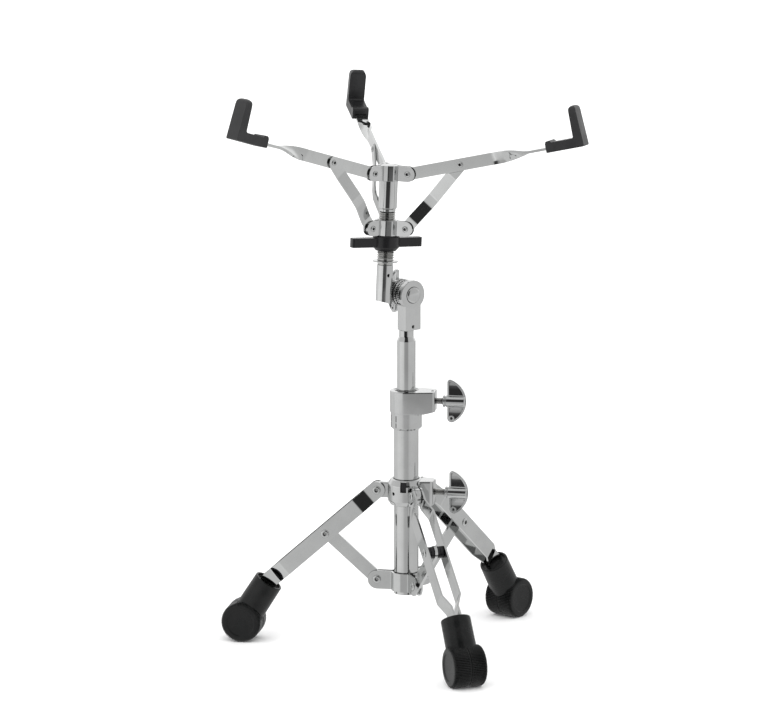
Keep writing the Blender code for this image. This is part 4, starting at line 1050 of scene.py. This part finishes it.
def wing_mesh(start):
    """A wing with round tips, a dished hollow above and below its hub, and a boss in the lower one."""
    upper = wing_half(start, WING_TOP_TIP, 0, 0)[:-1]
    lower = mirrored(wing_half(start, WING_LOW_TIP, 0, 0)[1:-1])
    body = plate([upper + lower], WING_THICKNESS, 0.0007)
    foot = WING_HUB_RADIUS + 0.0004
    upper = wing_half(start, WING_TOP_TIP, POCKET_RIM, foot)
    lower = mirrored(wing_half(start, WING_LOW_TIP, POCKET_RIM, foot))
    cut = []
    for outline in (upper, lower):
        low = min(y for x, y in outline)
        high = max(y for x, y in outline)
        lines = [low + (high - low) * i / POCKET_LINES for i in range(1, POCKET_LINES)]

        def dished(point, low=low, high=high):
            share = ramp(point.y, low, high)
            fall = (high - low) * (POCKET_SLOPE * share - POCKET_CURVE * share ** 2 / 2)
            return Vector((point.x, point.y, point.z + WING_THICKNESS - POCKET_DEPTH - fall))

        front = cut_and_bend(plate([outline], WING_THICKNESS, 0), (), dished, lines)
        back = front.copy()
        back.transform(Matrix.Diagonal((1, 1, -1, 1)))
        back.flip_normals()
        cut += [front, back]
    top = WING_THICKNESS / 2 + 0.0002
    boss = lathe([
        (0, top - 0.0012, 0), (0.0011, top - 0.0012, 0.0002), (0.0014, top), (WING_BOSS_RADIUS, top),
        (WING_BOSS_RADIUS + 0.0002, 0, 0), (0, 0, 0),
    ], 0.0004, 36)
    drop = math.sqrt((WING_REACH + WING_BULGE - WING_LOW_TIP) ** 2 - (WING_LOW_TIP + WING_BULGE) ** 2)
    spot = shift(start + WING_LOW_TIP, -drop, 0)
    flipped = spot @ Matrix.Rotation(math.pi, 4, "X")
    return merged((carved(body, cut=cut), HERE), (boss, spot), (boss, flipped))


def wing_hub(start, end):
    """The round hub along Z, with a bead at its inner end and a shallow dish in its outer end."""
    radius = WING_HUB_RADIUS
    neck = radius - 0.0007
    return lathe([
        (0, end - 0.0006, 0), (radius - 0.0022, end - 0.0006, 0.0004), (radius - 0.0016, end, 0.0004),
        (radius, end - 0.0012, 0.0010), (radius, start + 0.0036, 0.0003), (neck, start + 0.0030, 0.0003),
        (neck, start + 0.0024, 0.0003), (radius, start + 0.0018, 0.0004), (radius, start + 0.0004, 0.0006),
        (radius - 0.0012, start, 0.0003), (0, start, 0),
    ], 0.0004, 64)


def thread_profile(low, high, outer, depth, pitch):
    """Crests and roots from high down to low."""
    points = []
    for i in range(int((high - low) / pitch)):
        top = high - i * pitch
        points += [(outer - depth, top), (outer, top - pitch * 0.36), (outer, top - pitch * 0.50)]
        points.append((outer - depth, top - pitch * 0.88))
    return points + [(outer - depth, low)]


def make_wing_screw(name, node, azimuth, height, out, body):
    place = radial(COLUMN, azimuth, 0, height)
    start = WING_HUB_START + out
    mesh = merged(
        (wing_hub(start, WING_HUB_END + out), TURN_TO_X), (wing_mesh(WING_START + out), FLAT_ON_EDGE),
    )
    piece(name, mesh, place, "chrome_cast", body, node)
    thread = thread_profile(SCREW_TIP, start + 0.002, SCREW_RADIUS, 0.0005, SCREW_PITCH)
    screw = turned([(0, start + 0.002)] + thread + [(0, SCREW_TIP)], 40)
    piece(name + "_thread", merged((screw, TURN_TO_X)), place, "plated_screw", body)


# ---------------- tilter


def make_housing():
    """The lower casting on the upper tube's neck: a flat leg under a round head, with toothed crowns."""
    half = HOUSING_HALF_WIDTH
    angle = math.degrees(math.asin(half / HEAD_RADIUS))
    outline = arc(0, 0, HEAD_RADIUS, angle - 90, 270 - angle, 72)
    foot = [(-half, HOUSING_BOTTOM, 0.0014), (half, HOUSING_BOTTOM, 0.0014)]
    foot = rounded([outline[-1]] + foot + [outline[0]], 0, False, 6)[1:-1]
    body = plate([outline + foot], HOUSING_FRONT + HOUSING_BACK, 0.0007)
    moved(body, FLAT_ON_EDGE, shift(0, (HOUSING_FRONT - HOUSING_BACK) / 2, 0))
    seat = moved(ring(0, CAP_RADIUS + 0.0004, -0.0010, 0.004, 0, 72), TURN_TO_Y, shift(0, HOUSING_FRONT, 0))
    screw_place = shift(0, HOUSING_FRONT, HOUSING_SET_Z) @ TURN_TO_Y
    bore = moved(ring(0, NECK_RADIUS + CLEAR, -0.004, 0.02, 0, 64), shift(0, 0, HOUSING_BOTTOM - 0.0165))
    waist = ring(CROWN_CORE, HEAD_RADIUS + 0.002, -HOUSING_BACK - 0.001, HOUSING_FRONT - HEAD_DISC)
    keep = block((-0.02, -0.02, -0.03), (0.02, 0.02, -CROWN_CORE * 0.80), 0)
    waist = carved(moved(waist, TURN_TO_Y), cut=[keep])
    body = carved(body, cut=[seat, set_screw_hole(screw_place), bore, waist])
    piece("tilter_casting", body, TILTER, "chrome_cast", "upper_post", "tilter_housing")
    set_screw("housing_set_screw", TILTER @ screw_place, "upper_post")
    for i, middle in enumerate(CROWN_PLACES):
        crown = gear_mesh(middle - CROWN_WIDTH / 2, middle + CROWN_WIDTH / 2, i % 2 == 0, CROWN_CORE - 0.001)
        piece("tilter_crown_" + str(i + 1), crown, TILTER @ TURN_TO_Y, "chrome_cast", "upper_post")

    base = HOUSING_FRONT - 0.0008
    dome = [math.radians(angle) for angle in range(0, 91, 9)]
    profile = [
        (CAP_RADIUS * math.sin(angle), base + 0.0012 + CAP_HEIGHT * 0.85 * math.cos(angle)) for angle in dome
    ]
    profile += [
        (CAP_RADIUS, base), (BOLT_RADIUS, base), (BOLT_RADIUS, -BOLT_END + 0.0006),
        (BOLT_RADIUS - 0.0006, -BOLT_END), (0, -BOLT_END),
    ]
    piece("axle_bolt", turned(profile, 64), TILTER @ TURN_TO_Y, "chrome_cast", "upper_post", "tilter_bolt")


def gear_mesh(low, high, teeth_up, inner=BOLT_RADIUS + CLEAR):
    """A ring whose one face carries radial teeth."""
    outer = GEAR_RADIUS
    sign = 1 if teeth_up else -1
    face, back = (high, low) if teeth_up else (low, high)
    root = face - sign * TOOTH_DEPTH
    profile = [
        (inner, root, 0), (inner + 0.0006, root, 0), (inner + 0.0012, face, 1), (outer - 0.0003, face, 1),
        (outer, face - sign * 0.0003, 1), (outer, back + sign * 0.0004, 0.25), (outer - 0.0004, back, 0),
        (inner, back, 0),
    ]

    def teeth(step, weight):
        hollow = 0.5 - 0.5 * math.cos(math.tau * (step % TOOTH_STEPS) / TOOTH_STEPS)
        return -0.0004 * weight * hollow, -sign * TOOTH_DEPTH * weight * hollow if weight == 1 else 0

    return waved(profile, GEAR_TEETH * TOOTH_STEPS, teeth)


def make_gears():
    """The two toothed rings that mesh on the axle. Gives the place behind them."""
    start = -HOUSING_BACK - GEAR_GAP
    rings = (
        ("lower_tooth_ring", TILTER, "upper_post", "tilter_gear_lower", False),
        ("upper_tooth_ring", HEAD, "tilter_head", "tilter_gear_upper", True),
    )
    for name, place, body, node, teeth_up in rings:
        gear = gear_mesh(start - GEAR_THICKNESS, start, teeth_up)
        piece(name, gear, place @ TURN_TO_Y, "plated_gear", body, node)
        start -= GEAR_THICKNESS + GEAR_GAP
    return start


def make_tilter_post(front):
    """The upper casting: a disc on the axle, a web, and the post that holds the basket's shaft."""
    back = front - WEB_THICKNESS
    disc = moved(ring(0, GEAR_RADIUS, back, front, 0.0007), TURN_TO_Y)
    post = ring(0, BASKET_POST_RADIUS, BASKET_POST_BOTTOM - 0.004, BASKET_POST_TOP, 0.0006)
    moved(post, shift(POST_OFF_PIVOT, -POST_BACK, 0))
    web_outline = rounded([
        (0, WEB_HALF_HEIGHT + 0.004), (POST_OFF_PIVOT, WEB_HALF_HEIGHT + 0.004),
        (POST_OFF_PIVOT, -WEB_HALF_HEIGHT), (0, -WEB_HALF_HEIGHT - 0.002),
    ], 0.0008)
    web = plate([web_outline], WEB_THICKNESS, 0.0006)
    moved(web, FLAT_ON_EDGE, shift(0, front - WEB_THICKNESS / 2, 0))
    trim = block((-0.02, -0.03, -0.02), (0.03, 0.03, 0), 0)
    lean = Matrix.Rotation(math.radians(-CAST_LEAN), 4, "Y") @ shift(-0.005, 0, 0)
    moved(trim, shift(POST_OFF_PIVOT, -POST_BACK, BASKET_POST_BOTTOM + 0.0006) @ lean)
    spot = radial(HERE, POST_SET_AZIMUTH, BASKET_POST_RADIUS, POST_SET_HEIGHT) @ TURN_TO_X
    hole = set_screw_hole(HEAD.inverted() @ BASKET @ spot)
    body = carved(disc, [web, post], [trim, hole])
    piece("post_casting", body, HEAD, "chrome_cast", "tilter_head", "tilter_post")
    set_screw("post_set_screw", BASKET @ spot, "tilter_head")
    return back - GEAR_GAP


def make_tilter_wing(start):
    """The wing nut on the axle's back end."""
    reach = shift(TILT_WING_END - WING_REACH + 0.0045, 0, 0) @ Matrix.Diagonal((TILT_WING_SCALE, 1, 1, 1))
    mesh = merged((wing_hub(-start, TILT_WING_END), TURN_TO_X), (wing_mesh(0), reach @ FLAT_ON_EDGE))
    outward = HEAD @ Matrix.Rotation(math.radians(-90), 4, "Z")
    piece("tilter_wing_nut_cast", mesh, outward, "chrome_cast", "tilter_wing", "tilter_wing_nut")


# ---------------- basket


def make_shaft():
    low = BASKET_SLEEVE_BOTTOM
    radius = BASKET_SLEEVE_RADIUS
    foot = BASKET_POST_TOP + 0.0002
    shaft = [(0, low + 0.004), (SHAFT_END_RADIUS, low + 0.004), (SHAFT_END_RADIUS, low)]
    shaft += thread_profile(WASHER_TOP + 0.0004, low - 0.0004, THREAD_RADIUS, 0.0010, SHAFT_PITCH)
    shaft += [(THREAD_RADIUS - 0.0010, foot), (0, foot)]
    piece("threaded_rod", turned(shaft, 72), BASKET, "plated_screw", "tilter_head", "threaded_shaft")
    washer = ring(THREAD_RADIUS - 0.0005, WASHER_RADIUS, WASHER_BOTTOM, WASHER_TOP, 0.0005)
    piece("stop_disc", washer, BASKET, "chrome_strip", "tilter_head", "stop_washer")
    high = HUB_HEIGHT - HUB_HALF_HEIGHT + 0.001
    sleeve = lathe([
        (0.0052, high, 0), (radius, high, 0), (radius, low + 0.0036, 0.0008),
        (radius - 0.0012, low + 0.0024, 0.0005), (radius - 0.0012, low, 0.0004), (0.0052, low, 0),
    ], 0.0004)
    piece("basket_tube", sleeve, BASKET, "chrome_tube", "tilter_head", "basket_sleeve")


def make_fork(name, node, body, core, height, ring_radius, half_height, rivet_name, pin_name):
    """The hub or the slider, with the rivets in its ears."""
    mesh = forked(
        core, ARM_AZIMUTHS, BASKET_PIVOT_RADIUS, height, ring_radius + 0.0012, SMALL_EAR_INNER,
        SMALL_EAR_WALL, half_height - 0.0003,
    )
    piece(name, mesh, BASKET, "chrome_cast", body, node)
    reach = SMALL_EAR_INNER + SMALL_EAR_WALL
    for side, azimuth in ARM_AZIMUTHS.items():
        place = radial(BASKET, azimuth, BASKET_PIVOT_RADIUS, height) @ TURN_TO_Y
        rivet(rivet_name + side, pin_name + side, place, body, reach, SMALL_RIVET)


def make_hub():
    top = HUB_HEIGHT + HUB_HALF_HEIGHT
    bottom = HUB_HEIGHT - HUB_HALF_HEIGHT
    outer = HUB_RADIUS + 0.0004
    core = lathe([
        (0, top + 0.0004, 0), (0.0040, top + 0.0003, 0.002), (HUB_RADIUS - 0.0004, top - 0.0006, 0.0012),
        (outer, top - 0.0022, 0.0010), (outer, bottom), (0, bottom, 0),
    ], 0.0005)
    make_fork(
        "arm_hub", "basket_hub", "tilter_head", core, HUB_HEIGHT, HUB_RADIUS, HUB_HALF_HEIGHT,
        "hub_rivet_", "hub_pin_",
    )


def make_slider():
    low = SLIDER_HEIGHT - SLIDER_HALF_HEIGHT
    high = SLIDER_HEIGHT + SLIDER_HALF_HEIGHT
    core = ring(THREAD_RADIUS + 0.0002, SLIDER_RADIUS, low, high, 0.0004)
    make_fork(
        "strut_slider", "basket_slider", "basket_slider", core, SLIDER_HEIGHT, SLIDER_RADIUS,
        SLIDER_HALF_HEIGHT, "strut_rivet_", "strut_pin_",
    )


def make_nut():
    """The black wing nut under the slider."""
    inner = THREAD_RADIUS + 0.0003
    body = lathe([
        (inner, NUT_TOP, 0.0003), (NUT_RADIUS, NUT_TOP, 0.0014), (NUT_RADIUS, NUT_BOTTOM + 0.0040, 0.0016),
        (NUT_RADIUS - 0.0034, NUT_BOTTOM, 0.0012), (inner, NUT_BOTTOM, 0.0003),
    ], 0.001, steps=6)
    half = NUT_WING_THICKNESS / 2
    start = NUT_RADIUS - 0.003
    outline = rounded([
        (start, half + 0.0008), (start, -half - 0.0008), (NUT_REACH, -half, 0.0022),
        (NUT_REACH, half, 0.0022),
    ], 0.0005, steps=6)
    wing = plate([outline], NUT_WING_HEIGHT, 0.0011)
    middle = (NUT_BOTTOM + NUT_TOP) / 2 + 0.0008
    body = carved(body, [merged((wing, radial(HERE, turn, 0, middle))) for turn in (0, 180)])
    piece("adjusting_nut", body, radial(BASKET, NUT_AZIMUTH), "black_plastic", "basket_nut", "basket_nut")


def make_arm(side, pivot):
    arm = "arm_" + side
    place = strip_place(pivot, -ARM_SLOPE)
    half = ARM_WIDTH / 2
    outline = arc(0, 0, half, 90, 270, END_STEPS) + [(ARM_LENGTH, -half), (ARM_LENGTH, half)]

    def twist_at(along):
        return ramp(along, TWIST_START, TWIST_END) * math.pi / 2

    def move(point):
        turn = Matrix.Rotation(smoothed(twist_at, point.x, 0.004), 3, "X")
        return Vector((point.x, 0, 0)) + turn @ Vector((0, point.y, point.z))

    start = TWIST_START - 0.005
    length = TWIST_END - TWIST_START + 0.010
    stations = [start + length * i / TWIST_STEPS for i in range(TWIST_STEPS + 1)]
    flat = plate([outline] + holes(SMALL_PIN_RADIUS, 0, ARM_TO_LINK), ARM_THICKNESS)
    mesh = cut_and_bend(flat, stations, move, (-ARM_WIDTH / 4, 0, ARM_WIDTH / 4))
    piece("arm_strip_" + side, mesh, place, "chrome_strip", arm, arm)
    make_boot(side, place, arm)
    link = place @ shift(ARM_TO_LINK, 0, 0) @ Matrix.Rotation(math.pi, 4, "X")
    far = ARM_THICKNESS / 2 + CLEAR + STRUT_THICKNESS
    rivet("arm_rivet_" + side, "arm_pin_" + side, link, arm, far, SMALL_RIVET, -ARM_THICKNESS / 2)


def boot_outline():
    """The L-shaped rubber boot from the side: a seat for the drum's hoop and a wall outside it."""
    lip_end = BOOT_START + BOOT_LIP_LENGTH
    radius = BOOT_WALL_TOP / 2
    bottom = [(BOOT_START, BOOT_BOTTOM, 0.0012), (BOOT_END, BOOT_BOTTOM, 0.0016)]
    top = arc(BOOT_END - BOOT_WALL_LEAN - radius, BOOT_TOP - radius, radius, 0, 180, END_STEPS)
    inner = [
        (BOOT_END - BOOT_WALL_BOTTOM, BOOT_SEAT, 0.0022), (lip_end, BOOT_SEAT, 0.0012),
        (lip_end - 0.0020, BOOT_SEAT + BOOT_LIP_HEIGHT, 0.0014),
        (BOOT_START + 0.0012, BOOT_SEAT + BOOT_LIP_HEIGHT * 0.8, 0.0016),
        (BOOT_START, BOOT_SEAT - 0.0006, 0.0014),
    ]
    return rounded(bottom + [(x, y, 0) for x, y in top] + inner, 0.001, steps=5)


def make_boot(side, place, body):
    half = BOOT_WIDTH / 2
    low = BOOT_BOTTOM - 0.01
    front = rounded([
        (half, low, 0), (half, BOOT_TOP, BOOT_TOP_CORNER), (-half, BOOT_TOP, BOOT_TOP_CORNER),
        (-half, low, 0),
    ], 0, steps=8)
    front = moved(plate([front], 0.5, 0), Matrix.Rotation(math.radians(90), 4, "Y"))
    work = opened(carved(plate([boot_outline()], BOOT_WIDTH, 0), keep=[front]))
    bevel(work, sharp_edges(work, 40), BOOT_EDGE, 3)
    thick = ARM_THICKNESS / 2 + CLEAR
    wide = ARM_WIDTH / 2 + CLEAR
    socket = block((BOOT_START - 0.002, -thick, -wide), (ARM_LENGTH + CLEAR, thick, wide), 0)
    mesh = carved(mesh_of(work), cut=[socket])
    piece("rubber_boot_" + side, mesh, place, "boot_rubber", body, "boot_" + side)


def make_strut(side, pivot):
    """The strut beside an arm, which bends back into the slider's fork."""
    name = "strut_" + side
    run = ARM_TO_LINK * math.cos(ARM_SLOPE)
    rise = ARM_TO_LINK * math.sin(ARM_SLOPE)
    length = math.hypot(run, rise + HUB_DROP)
    beside = ARM_THICKNESS / 2 + CLEAR + STRUT_THICKNESS / 2
    near, wide, narrow, end = STRUT_STATIONS

    def offset(along):
        bowed = beside + (STRUT_BOW - beside) * ramp(along, near, wide)
        return bowed * (1 - ramp(along, narrow, end))

    def move(point):
        return Vector((point.x, point.y, point.z - smoothed(offset, point.x, STRUT_BEND)))

    stations = [spot for station in STRUT_STATIONS for spot in around(station, STRUT_BEND)]
    outlines = [strip_outline(0, length, STRUT_WIDTH)] + holes(SMALL_PIN_RADIUS, 0, length)
    mesh = cut_and_bend(plate(outlines, STRUT_THICKNESS), stations, move)
    place = strip_place(pivot @ shift(run, 0, rise), math.atan2(rise + HUB_DROP, -run))
    piece("strut_strip_" + side, mesh, place, "chrome_strip", name, name)


# ---------------- studio


def make_floor():
    """A pale floor, wide enough to fill the view."""
    work = bmesh.new()
    bmesh.ops.create_grid(work, x_segments=1, y_segments=1, size=60.0)
    floor = linked("floor", mesh_of(work))
    shader = shader_tree("floor_paper")[1]
    shader.inputs["Base Color"].default_value = (0.93, 0.93, 0.93, 1)
    shader.inputs["Roughness"].default_value = 0.95
    shader.inputs["Specular IOR Level"].default_value = 0.0
    floor.data.materials.append(MATERIALS["floor_paper"])
    floor.visible_glossy = False


def make_tent():
    """A round light tent that only reflections see: bright sides, and a dark gap towards the camera."""
    top = TENT_SHOULDER + TENT_RISE
    profile = [(0, TENT_BOTTOM), (TENT_RADIUS, TENT_BOTTOM)]
    for angle in range(0, 90, 6):
        turn = math.radians(angle)
        profile.append((TENT_RADIUS * math.cos(turn), TENT_SHOULDER + TENT_RISE * math.sin(turn)))
    tent = linked("light_tent", turned(profile + [(0, top)]))
    tent.data.shade_smooth()
    tent.location = COLUMN.translation
    tent.visible_camera = False
    tent.visible_diffuse = False
    tent.visible_shadow = False
    tent.visible_transmission = False
    tree = shader_tree("tent_light")[0]
    tree.nodes.clear()
    coords = shader_node(tree, "TexCoord").outputs["Object"]
    turn = shader_node(tree, "TexGradient", [(coords, "Vector")])
    turn.gradient_type = "RADIAL"
    height = shader_node(tree, "SeparateXYZ", [(coords, "Vector")]).outputs["Z"]
    limits = {"From Min": TENT_BOTTOM, "From Max": top}
    level = shader_node(tree, "MapRange", [(height, "Value")], **limits).outputs["Result"]

    def faded(stops, low, high):
        """Fades from one colour to another as height rises through the stops."""
        shares = [((place - TENT_BOTTOM) / (top - TENT_BOTTOM), share) for place, share in stops]
        return mixed(tree, graded(tree, level, shares), low, high)

    def panels(stops):
        return graded(tree, turn.outputs["Fac"], [(place / 360, grey) for place, grey in stops])

    def plain(grey):
        node = shader_node(tree, "RGB")
        node.outputs["Color"].default_value = (grey, grey, grey, 1)
        return node.outputs["Color"]

    walls = faded(TENT_MIDDLE_FADE, panels(TENT_LOW), panels(TENT_MIDDLE))
    walls = faded(TENT_HIGH_FADE, walls, panels(TENT_HIGH))
    walls = faded(TENT_GROUND_FADE, plain(TENT_GROUND), walls)
    walls = faded(TENT_TOP_FADE, walls, plain(TENT_TOP))
    glow = shader_node(tree, "Emission", [(walls, "Color")], Strength=TENT_POWER)
    shader_node(tree, "OutputMaterial", [(glow.outputs["Emission"], "Surface")])
    tent.data.materials.append(MATERIALS["tent_light"])


def make_lights():
    world = bpy.data.worlds.new("studio")
    bpy.context.scene.world = world
    world.use_nodes = True
    back = world.node_tree.nodes["Background"]
    back.inputs["Color"].default_value = (1.0, 1.0, 1.0, 1)
    back.inputs["Strength"].default_value = SKY_POWER
    for name, turn, power, spread in SUNS:
        lamp = bpy.data.lights.new(name, "SUN")
        lamp.energy = power
        lamp.angle = math.radians(spread)
        made = linked(name, lamp)
        made.rotation_euler = [math.radians(value) for value in turn]
        made.visible_glossy = False


def make_camera():
    """The photograph's view: from the front, a little above, through a long lens."""
    lens = bpy.data.cameras.new("view")
    lens.sensor_width = 36.0
    lens.lens = FOCAL_PIXELS * lens.sensor_width / PICTURE_WIDTH
    lens.clip_end = 300.0
    made = linked("view", lens)
    made.location = COLUMN @ Vector((CAMERA_ACROSS, -CAMERA_DISTANCE, CAMERA_HEIGHT))
    made.rotation_euler = (math.radians(CAMERA_TURN), 0, 0)
    bpy.context.scene.camera = made
    bpy.context.scene.view_settings.view_transform = "Standard"


# ---------------- the stand

make_materials()
for side, azimuth in LEG_AZIMUTHS.items():
    make_leg(side, azimuth)
make_tripod_collar()
make_low_collar()
make_column()
make_clamp()
make_wing_screw("height_wing", "height_wing_screw", CLAMP_AZIMUTH, CLAMP_SCREW_Z, 0, "height_wing")
make_wing_screw(
    "collar_wing", "tripod_wing_screw", COLLAR_SCREW_AZIMUTH, COLLAR_SCREW_Z, COLLAR_SCREW_SHIFT,
    "tripod_wing",
)
make_housing()
make_tilter_wing(make_tilter_post(make_gears()))
make_shaft()
make_hub()
make_slider()
make_nut()
for side, azimuth in ARM_AZIMUTHS.items():
    arm_pivot = radial(BASKET, azimuth, BASKET_PIVOT_RADIUS, HUB_HEIGHT)
    make_arm(side, arm_pivot)
    make_strut(side, arm_pivot)
make_floor()
make_tent()
make_lights()
make_camera()

bpy.context.view_layer.update()
